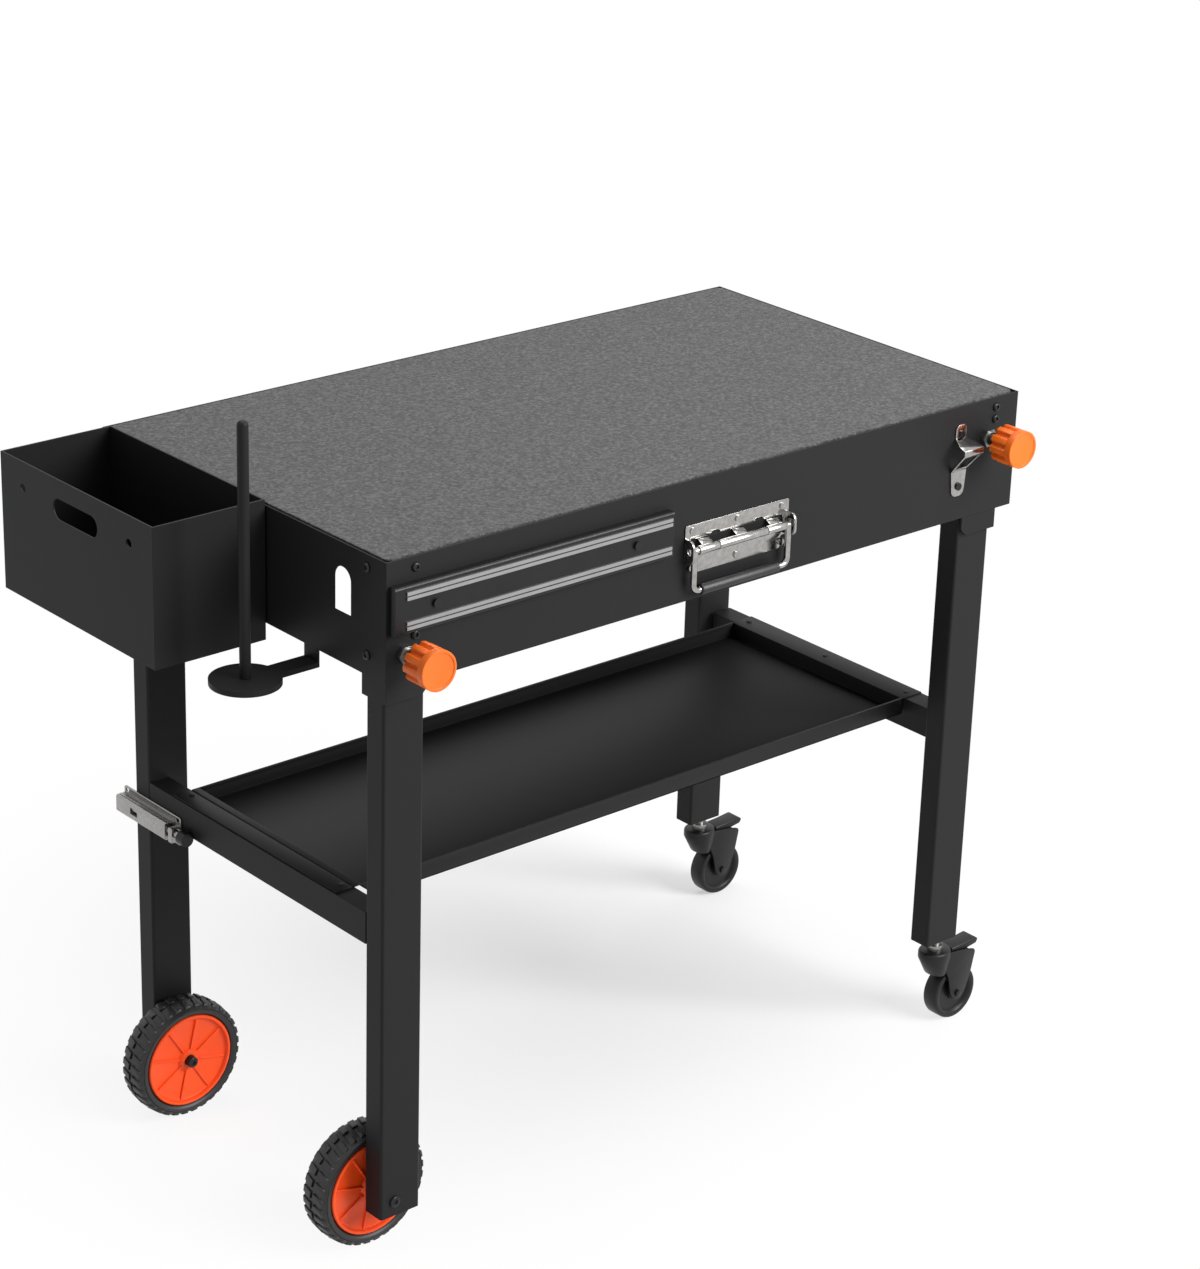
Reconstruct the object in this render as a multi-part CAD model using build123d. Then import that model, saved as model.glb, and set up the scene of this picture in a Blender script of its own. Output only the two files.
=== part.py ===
"""Folding grill table: steel case on two fold-in leg frames, lift-out shelf, side caddy and roll holder."""
from build123d import *
import math
import os

# Case: x runs right from the left end plate, y runs back from the front apron, z up from the floor
CASE_LENGTH = 914.0
CASE_DEPTH = 508.0
TABLE_HEIGHT = 817.0
APRON_DEPTH = 139.0
END_DEPTH = 132.0
SHEET = 1.5
MAT_THICK = 3.0
MAT_INSET = 4.0
MAT_CORNER = 8.0
RIM_DROP = 1.0

# Legs: rectangular steel tube, standing in two y lanes
LEG_WIDE = 52.0
LEG_THICK = 29.0
LEG_WALL = 1.5
LEG_CORNER = 3.0
FRONT_LANE = 7.0
REAR_INSET = 43.0
LEFT_LEG_X = 3.0
RIGHT_LEG_INSET = 26.0
LEFT_LEG_BOTTOM = 54.0
RIGHT_LEG_BOTTOM = 117.5
LEFT_PIVOT_DROP = 124.5
RIGHT_PIVOT_DROP = 68.0
PIVOT_R = 5.0
WASHER_R = 6.4
RUN_GAP = 0.3
HOLE_GAP = 0.1

# Leg brackets: folded channels that take the pivots and reach below the apron
BRACKET_PLATE = 3.0
BRACKET_SIDE_GAP = 2.5
LEFT_BRACKET_DEPTH = 156.0
RIGHT_BRACKET_DEPTH = 163.0
BRACKET_CHAMFER = 8.0

# Button-head bolts
BOLT_HEAD_R = 5.0
BOLT_HEAD = 2.8
BOLT_R = 3.0
LEFT_BOLT_SIDE = 8.0
RIGHT_BOLT_SIDE = 16.0
TOP_BOLT_DROP = 13.0
LEFT_LOW_BOLT_DROP = 86.0
RIGHT_LOW_BOLT_DROP = 27.0
END_BOLT_BACK = 24.0
END_BOLT_HIGH_DROP = 15.0
END_BOLT_LOW_DROP = 110.0

# Pull knobs with their spring plungers
LEFT_KNOB_SIDE = -5.0
LEFT_KNOB_DROP = 104.0
RIGHT_KNOB_SIDE = 4.0
RIGHT_KNOB_DROP = 47.0
KNOB_R = 22.0
KNOB_LENGTH = 32.0
KNOB_LOBES = 10
KNOB_GROOVE_R = 4.0
KNOB_FLANGE = 5.0
SLEEVE_R = 8.0
SLEEVE_LENGTH = 24.0
SLEEVE_NUT_R = 11.0
SLEEVE_NUT = 6.0
PLUNGER_R = 4.0

# Left leg frame: rail, stub axles and wheels
RAIL_DEPTH = 26.0
RAIL_BOTTOM = 377.0
RAIL_HEIGHT = 37.0
AXLE_SIDE = -8.0
WHEEL_R = 72.0
WHEEL_WIDTH = 40.0
WHEEL_GAP = 5.4
RIM_R = 56.0
HUB_R = 12.0
SPOKES = 8
SPOKE_THICK = 4.0
RIM_WALL = 4.0
WEB_THICK = 5.0
AXLE_R = 5.0
AXLE_CAP_R = 9.0
AXLE_CAP = 5.0
TREAD_LUGS = 28
TREAD_DEPTH = 3.0

# Swivel casters
CASTER_R = 35.0
CASTER_WIDTH = 22.0
CASTER_EDGE = 3.0
CASTER_TRAIL = 31.0
CASTER_SIDE = 4.0
CASTER_AXLE_R = 3.5
FORK_CHEEK = 2.4
FORK_WHEEL_GAP = 1.5
FORK_FRONT = 14.0
FORK_FRONT_DROP = 9.0
FORK_EYE = 11.0
FORK_BACK = 20.0
FORK_BACK_RISE = 5.0
FORK_TOP_R = 19.0
FORK_TOP_Z = 101.0
FORK_TOP_THICK = 18.0
STEM_R = 6.0
STEM_NUT_R = 10.0
STEM_NUT = 7.0
STEM_RISE = 40.0
STEM_SHORT = 2.0
PEDAL_REACH = 66.0
PEDAL_THICK = 6.0
PEDAL_Z = 96.0
PEDAL_TOE = 18.0
PEDAL_TOE_RISE = 9.0
PEDAL_TOE_TIP = 4.0
PEDAL_PIN_R = 1.5
PEDAL_EYE = 4.5

# Lift-out shelf tray with its right end bar
SHELF_DEPTH = 301.0
SHELF_START = 1.0
SHELF_RECESS = 18.5
SHELF_FLANGE = 33.0
SHELF_SLOPE = 21.0
SHELF_END_FLANGE = 32.0
SHELF_END_INSET = 5.0
SHELF_BAR_DEPTH = 28.0
SHELF_PEG_R = 5.0
SHELF_PEG = 12.0

# Shelf bolt on the rear left leg
LATCH_LENGTH = 112.0
LATCH_HEIGHT = 34.0
LATCH_DROP = 17.0
LATCH_BACK = 20.0
LATCH_PLATE = 2.0
LATCH_CASE = 12.0
LATCH_BOLT_R = 4.0
LATCH_KNOB_R = 8.0
LATCH_KNOB = 12.0
LATCH_STICK_OUT = 10.0
LATCH_TAB = 8.0
LATCH_STEP = 3.0

# Caddy hung on the left end plate
CADDY_OUT = 141.6
CADDY_LENGTH = 286.0
CADDY_REAR_INSET = 21.0
CADDY_HEIGHT = 156.0
CADDY_RISE = 7.0
CADDY_SHEET = 2.0
GRIP_LENGTH = 84.0
GRIP_HEIGHT = 24.0
GRIP_DROP = 33.0
CADDY_HOLE_R = 5.0
CADDY_HOLE_DROP = 30.0
CADDY_HOLE_SPACING = 200.0
HOOK_WIDE = 24.0
HOOK_SPACING = 140.0
HOOK_CLEAR = 4.5
HOOK_BELOW = 56.0
HOOK_NECK = 6.0
HOOK_TURN = 12.0
HOOK_LIFT = 16.0

# End plate slots
SLOT_Y = 72.0
SLOT_WIDE = 28.0
SLOT_DROP = 27.0
SLOT_HEIGHT = 50.0

# Paper roll holder
ROLL_X = -81.0
ROLL_Y = 128.0
ROLL_BASE_DROP = 147.0
SPINDLE_R = 6.0
SPINDLE_LENGTH = 276.0
SPINDLE_NOSE = 4.8
ROLL_ARM_WIDE = 24.0
ROLL_ARM_THICK = 6.0
ROLL_ARM_LAP = 40.0
ROLL_DISC_R = 38.0

# Magnetic tool rail on the front apron
RAIL_BAR_X = 4.0
RAIL_BAR_LENGTH = 372.0
RAIL_BAR_DROP = 27.0
RAIL_BAR_HEIGHT = 52.0
RAIL_BAR_THICK = 10.0
RAIL_BAR_EDGE = 3.0
STRIP_START = 14.0
STRIP_END = 3.5
STRIP_HEIGHT = 3.8
STRIP_PITCH = 5.2
STRIP_THICK = 1.6
STRIP_LOW = 5.0
STRIP_HIGH = 37.0
RAIL_SCREW_SPACING = 268.0

# Bail handle on the front apron
HANDLE_GAP = 24.0
HANDLE_PLATE_LENGTH = 152.0
HANDLE_PLATE_HEIGHT = 56.0
HANDLE_PLATE_DROP = 52.0
HANDLE_PLATE = 1.6
HANDLE_PLATE_CORNER = 5.0
HANDLE_EAR = 9.0
HANDLE_EAR_GAP = 4.0
HANDLE_EAR_WALL = 2.2
HANDLE_AXIS_DROP = 79.0
HANDLE_AXIS_OUT = 8.0
RIVET_R = 4.0
RIVET_HEAD = 1.6
RIVET_SIDE = 10.0
RIVET_EDGE = 7.0
BAIL_R = 3.6
BAIL_WIDE = 138.0
BAIL_DROP = 46.0
BAIL_CORNER = 8.0

# Bottle opener on the front apron
OPENER_INSET = 93.0
OPENER_WIDE = 31.0
OPENER_DROP = 22.0
OPENER_HEIGHT = 87.0
OPENER_PLATE = 2.0
OPENER_CORNER = 12.0
OPENER_LIP_OUT = 24.0
OPENER_TOP_TAB = 19.0
OPENER_LOW_TAB = 34.0
OPENER_LIP_DROP = 24.0
OPENER_LIP_FACE = 6.0
OPENER_HOLE_EDGE = 12.0
OPENER_SCREW_R = 4.5
OPENER_SCREW_HEAD = 2.0

# Places worked out from the sizes above
DECK_TOP = TABLE_HEIGHT - MAT_THICK
DECK_UNDER = DECK_TOP - SHEET
APRON_BOTTOM = TABLE_HEIGHT - APRON_DEPTH
END_BOTTOM = TABLE_HEIGHT - END_DEPTH
RIM_Z = TABLE_HEIGHT - RIM_DROP
REAR_LANE = CASE_DEPTH - REAR_INSET - LEG_THICK
RIGHT_LEG_X = CASE_LENGTH - RIGHT_LEG_INSET - LEG_WIDE
LEFT_PIVOT_Z = TABLE_HEIGHT - LEFT_PIVOT_DROP
RIGHT_PIVOT_Z = TABLE_HEIGHT - RIGHT_PIVOT_DROP
LEFT_BRACKET_BOTTOM = TABLE_HEIGHT - LEFT_BRACKET_DEPTH
RIGHT_BRACKET_BOTTOM = TABLE_HEIGHT - RIGHT_BRACKET_DEPTH
LEFT_PIVOT_X = LEFT_LEG_X + LEG_WIDE / 2
RIGHT_PIVOT_X = RIGHT_LEG_X + LEG_WIDE / 2
LEFT_KNOB_X = LEFT_PIVOT_X + LEFT_KNOB_SIDE
LEFT_KNOB_Z = TABLE_HEIGHT - LEFT_KNOB_DROP
RIGHT_KNOB_X = RIGHT_PIVOT_X + RIGHT_KNOB_SIDE
RIGHT_KNOB_Z = TABLE_HEIGHT - RIGHT_KNOB_DROP
CASTER_X = RIGHT_PIVOT_X + CASTER_SIDE
LANES = {"front": FRONT_LANE, "rear": REAR_LANE}
RAIL_TOP = RAIL_BOTTOM + RAIL_HEIGHT
RAIL_X = LEFT_LEG_X
SHELF_REAR = REAR_LANE - WHEEL_GAP - WHEEL_WIDTH - 2 * RUN_GAP
SHELF_FRONT = SHELF_REAR - SHELF_DEPTH
SHELF_LEFT = RAIL_X + SHELF_START
SHELF_RIGHT = RIGHT_LEG_X + LEG_WIDE - SHELF_END_INSET
SHELF_BAR_X = SHELF_RIGHT - SHELF_BAR_DEPTH
SHELF_BAR_FRONT = FRONT_LANE + LEG_THICK + BRACKET_SIDE_GAP + BRACKET_PLATE + RUN_GAP
SHELF_BAR_REAR = REAR_LANE - BRACKET_SIDE_GAP - BRACKET_PLATE - RUN_GAP
SHELF_TOP = RAIL_TOP + RUN_GAP + SHEET
SHELF_FLOOR = SHELF_TOP - SHELF_RECESS
CADDY_IN = -BOLT_HEAD - RUN_GAP
CADDY_REAR = CASE_DEPTH - CADDY_REAR_INSET
CADDY_FRONT = CADDY_REAR - CADDY_LENGTH
CADDY_TOP = TABLE_HEIGHT + CADDY_RISE
CADDY_BOTTOM = CADDY_TOP - CADDY_HEIGHT
CADDY_MID = (CADDY_FRONT + CADDY_REAR) / 2
GRIP_Z = CADDY_TOP - GRIP_DROP
HOOK_Z = CADDY_TOP - HOOK_BELOW
HOOK_REAR_Y = REAR_LANE - BRACKET_SIDE_GAP - BRACKET_PLATE - HOOK_CLEAR - HOOK_WIDE / 2
HOOK_PLACES = (HOOK_REAR_Y - HOOK_SPACING, HOOK_REAR_Y)
KNOB_Y = -SLEEVE_LENGTH - RUN_GAP
PLUNGER_TIP = FRONT_LANE - RUN_GAP
SLOT_TOP = TABLE_HEIGHT - SLOT_DROP
SLOT_BOTTOM = SLOT_TOP - SLOT_HEIGHT
ROLL_BASE_Z = TABLE_HEIGHT - ROLL_BASE_DROP
RAIL_BAR_BOTTOM = TABLE_HEIGHT - RAIL_BAR_DROP - RAIL_BAR_HEIGHT
HANDLE_X = RAIL_BAR_X + RAIL_BAR_LENGTH + HANDLE_GAP + HANDLE_PLATE_LENGTH / 2
HANDLE_PLATE_BOTTOM = TABLE_HEIGHT - HANDLE_PLATE_DROP - HANDLE_PLATE_HEIGHT
HANDLE_AXIS_Z = TABLE_HEIGHT - HANDLE_AXIS_DROP
OPENER_X = CASE_LENGTH - OPENER_INSET
OPENER_TOP = TABLE_HEIGHT - OPENER_DROP
OPENER_BOTTOM = OPENER_TOP - OPENER_HEIGHT


def block(x0, x1, y0, y1, z0, z1):
    """Box between two corners."""
    return Pos((x0 + x1) / 2, (y0 + y1) / 2, (z0 + z1) / 2) * Box(x1 - x0, y1 - y0, z1 - z0)


def rod_x(x0, x1, y, z, r):
    """Cylinder along x."""
    return Pos((x0 + x1) / 2, y, z) * Rot(0, 90, 0) * Cylinder(r, x1 - x0)


def rod_y(y0, y1, x, z, r):
    """Cylinder along y."""
    return Pos(x, (y0 + y1) / 2, z) * Rot(90, 0, 0) * Cylinder(r, y1 - y0)


def rod_z(z0, z1, x, y, r):
    """Cylinder along z."""
    return Pos(x, y, (z0 + z1) / 2) * Cylinder(r, z1 - z0)


def plate_xz(points, y0, y1):
    """Plate with an outline of x, z points between two y planes."""
    outline = make_face(Polyline(*[(x, y0, z) for x, z in points], close=True))
    return extrude(outline, y1 - y0, dir=(0, 1, 0))


def bolt_y(x, y, z, outward, grip):
    """Button-head bolt along y, with its head on the face at y."""
    head = rod_y(min(y, y + outward * BOLT_HEAD), max(y, y + outward * BOLT_HEAD), x, z, BOLT_HEAD_R)
    shank = rod_y(min(y, y - outward * grip), max(y, y - outward * grip), x, z, BOLT_R)
    return head + shank


def hole_y(x, z, y0, y1, r):
    """Clearance hole along y for a rod of radius r."""
    return rod_y(y0, y1, x, z, r + HOLE_GAP)


# Bolt places on the front and rear aprons, as x and z
LEFT_BOLT_X = LEFT_PIVOT_X + LEFT_BOLT_SIDE
RIGHT_BOLT_X = RIGHT_PIVOT_X + RIGHT_BOLT_SIDE
TOP_BOLT_Z = TABLE_HEIGHT - TOP_BOLT_DROP
LEFT_LOW_BOLT_Z = TABLE_HEIGHT - LEFT_LOW_BOLT_DROP
RIGHT_LOW_BOLT_Z = TABLE_HEIGHT - RIGHT_LOW_BOLT_DROP
APRON_BOLTS = [
    (LEFT_BOLT_X, TOP_BOLT_Z),
    (LEFT_BOLT_X, LEFT_LOW_BOLT_Z),
    (RIGHT_BOLT_X, TOP_BOLT_Z),
    (RIGHT_BOLT_X, RIGHT_LOW_BOLT_Z),
]
END_BOLT_HIGH = TABLE_HEIGHT - END_BOLT_HIGH_DROP
END_BOLT_LOW = TABLE_HEIGHT - END_BOLT_LOW_DROP
END_BOLT_PLACES = (FRONT_LANE + END_BOLT_BACK, REAR_LANE + END_BOLT_BACK)
KNOB_AXES = {"left": (LEFT_KNOB_X, LEFT_KNOB_Z), "right": (RIGHT_KNOB_X, RIGHT_KNOB_Z)}

nodes = {}


def front_apron():
    """Front sheet with the holes of its bolts and plungers."""
    sheet = block(0, CASE_LENGTH, 0, SHEET, APRON_BOTTOM, RIM_Z)
    for x, z in APRON_BOLTS:
        sheet -= hole_y(x, z, -1, SHEET + 1, BOLT_R)
    for x, z in KNOB_AXES.values():
        sheet -= hole_y(x, z, -1, SHEET + 1, PLUNGER_R)
    return sheet


def end_plate(x0, slotted):
    """Case end between the aprons; the left one has the caddy's arched slots."""
    sheet = block(x0, x0 + SHEET, SHEET, CASE_DEPTH - SHEET, END_BOTTOM, RIM_Z)
    if slotted:
        arch_r = SLOT_WIDE / 2
        for y in (SLOT_Y, CASE_DEPTH - SLOT_Y):
            sheet -= block(x0 - 1, x0 + SHEET + 1, y - arch_r, y + arch_r, SLOT_BOTTOM, SLOT_TOP - arch_r)
            sheet -= rod_x(x0 - 1, x0 + SHEET + 1, y, SLOT_TOP - arch_r, arch_r)
        for y in HOOK_PLACES:
            half = HOOK_WIDE / 2 + RUN_GAP
            sheet -= block(x0 - 1, x0 + SHEET + 1, y - half, y + half, HOOK_Z - HOOK_NECK - RUN_GAP,
                           HOOK_Z + HOOK_LIFT + RUN_GAP)
        for y in END_BOLT_PLACES:
            for z in (END_BOLT_HIGH, END_BOLT_LOW):
                sheet -= rod_x(x0 - 1, x0 + SHEET + 1, y, z, BOLT_R + HOLE_GAP)
    return sheet


nodes["deck_panel"] = block(SHEET, CASE_LENGTH - SHEET, SHEET, CASE_DEPTH - SHEET, DECK_UNDER, DECK_TOP)
mat = block(MAT_INSET, CASE_LENGTH - MAT_INSET, MAT_INSET, CASE_DEPTH - MAT_INSET, DECK_TOP, TABLE_HEIGHT)
nodes["deck_mat"] = fillet(mat.edges().filter_by(Axis.Z), MAT_CORNER)
nodes["front_apron"] = front_apron()
rear_sheet = block(0, CASE_LENGTH, CASE_DEPTH - SHEET, CASE_DEPTH, APRON_BOTTOM, RIM_Z)
for bolt_x, bolt_z in APRON_BOLTS:
    rear_sheet -= hole_y(bolt_x, bolt_z, CASE_DEPTH - SHEET - 1, CASE_DEPTH + 1, BOLT_R)
nodes["rear_apron"] = rear_sheet
nodes["left_end_plate"] = end_plate(0, True)
nodes["right_end_plate"] = end_plate(CASE_LENGTH - SHEET, False)


def leg_bracket(side, lane):
    """Channel round a leg's top: two cheeks and an outer web, open on the side the leg folds to."""
    left = side == "left"
    leg_x = LEFT_LEG_X if left else RIGHT_LEG_X
    bottom = LEFT_BRACKET_BOTTOM if left else RIGHT_BRACKET_BOTTOM
    pivot_x = LEFT_PIVOT_X if left else RIGHT_PIVOT_X
    pivot_z = LEFT_PIVOT_Z if left else RIGHT_PIVOT_Z
    outer = SHEET if left else leg_x + LEG_WIDE + RUN_GAP + BRACKET_PLATE
    web = LEFT_LEG_X - RUN_GAP if left else leg_x + LEG_WIDE + RUN_GAP
    inner = leg_x + LEG_WIDE if left else leg_x
    near = LANES[lane] - BRACKET_SIDE_GAP
    far = LANES[lane] + LEG_THICK + BRACKET_SIDE_GAP
    inward = -1 if left else 1
    cheek = [
        (outer, bottom),
        (inner + inward * BRACKET_CHAMFER, bottom),
        (inner, bottom + BRACKET_CHAMFER),
        (inner, DECK_UNDER),
        (outer, DECK_UNDER),
    ]
    body = plate_xz(cheek, near - BRACKET_PLATE, near) + plate_xz(cheek, far, far + BRACKET_PLATE)
    body += block(min(outer, web), max(outer, web), near, far, bottom, DECK_UNDER)
    body -= hole_y(pivot_x, pivot_z, near - BRACKET_PLATE - 1, far + BRACKET_PLATE + 1, PIVOT_R)
    if lane == "front":
        knob_x, knob_z = KNOB_AXES[side]
        body -= hole_y(knob_x, knob_z, near - BRACKET_PLATE - 1, near + 1, PLUNGER_R)
        for x, z in APRON_BOLTS:
            body -= hole_y(x, z, near - BRACKET_PLATE - 1, near + 1, BOLT_R)
    if left:
        y_end = END_BOLT_PLACES[0] if lane == "front" else END_BOLT_PLACES[1]
        for z in (END_BOLT_HIGH, END_BOLT_LOW):
            body -= rod_x(outer - 1, web + 1, y_end, z, BOLT_R + HOLE_GAP)
    return body


for side in ("left", "right"):
    for lane in LANES:
        nodes[f"{side}_{lane}_bracket"] = leg_bracket(side, lane)

front_grip = FRONT_LANE - BRACKET_SIDE_GAP
bolts = [bolt_y(x, 0, z, -1, front_grip) for x, z in APRON_BOLTS]
bolts += [bolt_y(x, CASE_DEPTH, z, 1, SHEET) for x, z in APRON_BOLTS]
for y in END_BOLT_PLACES:
    for z in (END_BOLT_HIGH, END_BOLT_LOW):
        head = rod_x(-BOLT_HEAD, 0, y, z, BOLT_HEAD_R)
        bolts.append(head + rod_x(0, SHEET, y, z, BOLT_R))
nodes["case_bolts"] = Compound(children=bolts)


def plunger(side):
    """Threaded sleeve on the apron, and the knob with the pin that slides in it."""
    x, z = KNOB_AXES[side]
    sleeve = rod_y(-SLEEVE_LENGTH, 0, x, z, SLEEVE_R)
    nut = Pos(x, 0, z) * Rot(90, 0, 0) * extrude(RegularPolygon(SLEEVE_NUT_R, 6), SLEEVE_NUT)
    sleeve = sleeve + nut - rod_y(-SLEEVE_LENGTH - 1, 1, x, z, PLUNGER_R + HOLE_GAP)
    pin = rod_y(KNOB_Y, PLUNGER_TIP, x, z, PLUNGER_R)
    profile = Circle(KNOB_R)
    for index in range(KNOB_LOBES):
        turn = 2 * math.pi * index / KNOB_LOBES
        place = Pos(KNOB_R * math.cos(turn), KNOB_R * math.sin(turn))
        profile -= place * Circle(KNOB_GROOVE_R)
    grip = extrude(profile, KNOB_LENGTH - KNOB_FLANGE)
    cap = Pos(0, 0, KNOB_LENGTH - KNOB_FLANGE) * extrude(Circle(KNOB_R), KNOB_FLANGE)
    knob = Pos(x, KNOB_Y, z) * Rot(90, 0, 0) * (grip + cap)
    return sleeve, pin, knob


for side in ("left", "right"):
    sleeve, pin, knob = plunger(side)
    nodes[f"{side}_plunger_sleeve"] = sleeve
    nodes[f"{side}_plunger_pin"] = pin
    nodes[f"{side}_knob"] = knob


def leg(leg_x, lane_y, bottom, pivot_x, pivot_z):
    """Rectangular tube with a rounded top about its pivot."""
    tube = block(leg_x, leg_x + LEG_WIDE, lane_y, lane_y + LEG_THICK, bottom, pivot_z)
    tube = fillet(tube.edges().filter_by(Axis.Z), LEG_CORNER)
    tube += rod_y(lane_y, lane_y + LEG_THICK, pivot_x, pivot_z, LEG_WIDE / 2)
    inside = block(leg_x + LEG_WALL, leg_x + LEG_WIDE - LEG_WALL, lane_y + LEG_WALL,
                   lane_y + LEG_THICK - LEG_WALL, bottom - 1, pivot_z)
    tube -= inside
    tube -= rod_y(lane_y + LEG_WALL, lane_y + LEG_THICK - LEG_WALL, pivot_x, pivot_z, LEG_WIDE / 2 - LEG_WALL)
    return tube - hole_y(pivot_x, pivot_z, lane_y - 1, lane_y + LEG_THICK + 1, PIVOT_R)


def end_cap(leg_x, lane_y, bottom, hole_x, hole_r):
    """Plastic plug in a tube's open end, drilled upright for a stem."""
    gap = LEG_WALL + HOLE_GAP
    plug = block(leg_x + gap, leg_x + LEG_WIDE - gap, lane_y + gap, lane_y + LEG_THICK - gap,
                 bottom, bottom + STEM_RISE)
    if hole_r:
        plug -= rod_z(bottom - 1, bottom + STEM_RISE + 1, hole_x, lane_y + LEG_THICK / 2, hole_r + HOLE_GAP)
    return plug


AXLE_X = LEFT_PIVOT_X + AXLE_SIDE
AXLE_Z = WHEEL_R
PIVOT_HALF = BRACKET_SIDE_GAP + BRACKET_PLATE


def pivot_pin(x, z, lane_y):
    """Pivot bolt through a bracket's two cheeks and the leg between them."""
    return rod_y(lane_y - PIVOT_HALF, lane_y + LEG_THICK + PIVOT_HALF, x, z, PIVOT_R)


def bush(x, z, lane_y):
    """Two spacer washers between a leg and its bracket's cheeks."""
    rings = []
    for y0 in (lane_y - BRACKET_SIDE_GAP, lane_y + LEG_THICK):
        ring = rod_y(y0 + HOLE_GAP, y0 + BRACKET_SIDE_GAP - HOLE_GAP, x, z, WASHER_R)
        rings.append(ring - hole_y(x, z, y0 - 1, y0 + BRACKET_SIDE_GAP + 1, PIVOT_R))
    return rings


for lane, lane_y in LANES.items():
    left_leg = leg(LEFT_LEG_X, lane_y, LEFT_LEG_BOTTOM, LEFT_PIVOT_X, LEFT_PIVOT_Z)
    left_leg -= hole_y(AXLE_X, AXLE_Z, lane_y - 1, lane_y + LEG_THICK + 1, AXLE_R)
    nodes[f"left_{lane}_leg"] = left_leg
    nodes[f"right_{lane}_leg"] = leg(RIGHT_LEG_X, lane_y, RIGHT_LEG_BOTTOM, RIGHT_PIVOT_X, RIGHT_PIVOT_Z)
left_pins = [pivot_pin(LEFT_PIVOT_X, LEFT_PIVOT_Z, lane_y) for lane_y in LANES.values()]
nodes["left_pivot_pins"] = Compound(children=left_pins)
rod_start = FRONT_LANE - PIVOT_HALF
rod_end = REAR_LANE + LEG_THICK + PIVOT_HALF
nodes["right_pivot_rod"] = rod_y(rod_start, rod_end, RIGHT_PIVOT_X, RIGHT_PIVOT_Z, PIVOT_R)
washers = []
for lane_y in LANES.values():
    washers += bush(LEFT_PIVOT_X, LEFT_PIVOT_Z, lane_y) + bush(RIGHT_PIVOT_X, RIGHT_PIVOT_Z, lane_y)
nodes["pivot_washers"] = Compound(children=washers)
left_caps = [end_cap(LEFT_LEG_X, lane_y, LEFT_LEG_BOTTOM, 0, 0) for lane_y in LANES.values()]
for index, lane_y in enumerate(LANES.values()):
    left_caps[index] -= hole_y(AXLE_X, AXLE_Z, lane_y - 1, lane_y + LEG_THICK + 1, AXLE_R)
nodes["left_leg_plugs"] = Compound(children=left_caps)
right_caps = [end_cap(RIGHT_LEG_X, lane_y, RIGHT_LEG_BOTTOM, CASTER_X, STEM_R) for lane_y in LANES.values()]
peg_x = SHELF_BAR_X + SHELF_BAR_DEPTH / 2
peg_z = RAIL_BOTTOM - RUN_GAP - SHELF_PEG_R
front_inside = FRONT_LANE + LEG_THICK
pegs = [rod_y(front_inside, front_inside + SHELF_PEG, peg_x, peg_z, SHELF_PEG_R),
        rod_y(REAR_LANE - SHELF_PEG, REAR_LANE, peg_x, peg_z, SHELF_PEG_R)]
nodes["right_leg_fittings"] = Compound(children=right_caps + pegs)
rail = block(RAIL_X, RAIL_X + RAIL_DEPTH, FRONT_LANE + LEG_THICK, REAR_LANE, RAIL_BOTTOM, RAIL_TOP)
rail_core = block(RAIL_X + LEG_WALL, RAIL_X + RAIL_DEPTH - LEG_WALL,
                  FRONT_LANE + LEG_THICK - 1, REAR_LANE + 1, RAIL_BOTTOM + LEG_WALL, RAIL_TOP - LEG_WALL)
nodes["left_rail"] = rail - rail_core


def wheel(inner_y, inward):
    """Spoked rim and lugged tyre; inner_y is the face beside the leg, inward points away from the leg."""
    y0, y1 = sorted((inner_y, inner_y + inward * WHEEL_WIDTH))
    mid = (y0 + y1) / 2
    rim = rod_y(y0 + 1, y1 - 1, AXLE_X, AXLE_Z, RIM_R) - rod_y(y0, y1, AXLE_X, AXLE_Z, RIM_R - RIM_WALL)
    rim += rod_y(mid - WEB_THICK / 2, mid + WEB_THICK / 2, AXLE_X, AXLE_Z, RIM_R - RIM_WALL / 2)
    rim += rod_y(y0 + 1, y1 - 1, AXLE_X, AXLE_Z, HUB_R)
    for index in range(SPOKES // 2):
        spoke = Box(2 * RIM_R - RIM_WALL, WHEEL_WIDTH - 2 * RIM_WALL, SPOKE_THICK)
        rim += Pos(AXLE_X, mid, AXLE_Z) * Rot(0, 360 * index / SPOKES, 0) * spoke
    rim -= hole_y(AXLE_X, AXLE_Z, y0 - 1, y1 + 1, AXLE_R)
    tyre = rod_y(y0, y1, AXLE_X, AXLE_Z, WHEEL_R) - rod_y(y0 - 1, y1 + 1, AXLE_X, AXLE_Z, RIM_R)
    pitch = 2 * math.pi * WHEEL_R / TREAD_LUGS
    for index in range(TREAD_LUGS):
        turn = 360 * (index + 0.5) / TREAD_LUGS
        groove = Pos(WHEEL_R, 0, 0) * Box(2 * TREAD_DEPTH, WHEEL_WIDTH / 2, pitch / 3)
        side = 1 if index % 2 else -1
        shift = Pos(AXLE_X, mid + side * WHEEL_WIDTH / 3, AXLE_Z)
        tyre -= shift * Rot(0, turn, 0) * groove
    return rim, tyre


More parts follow.
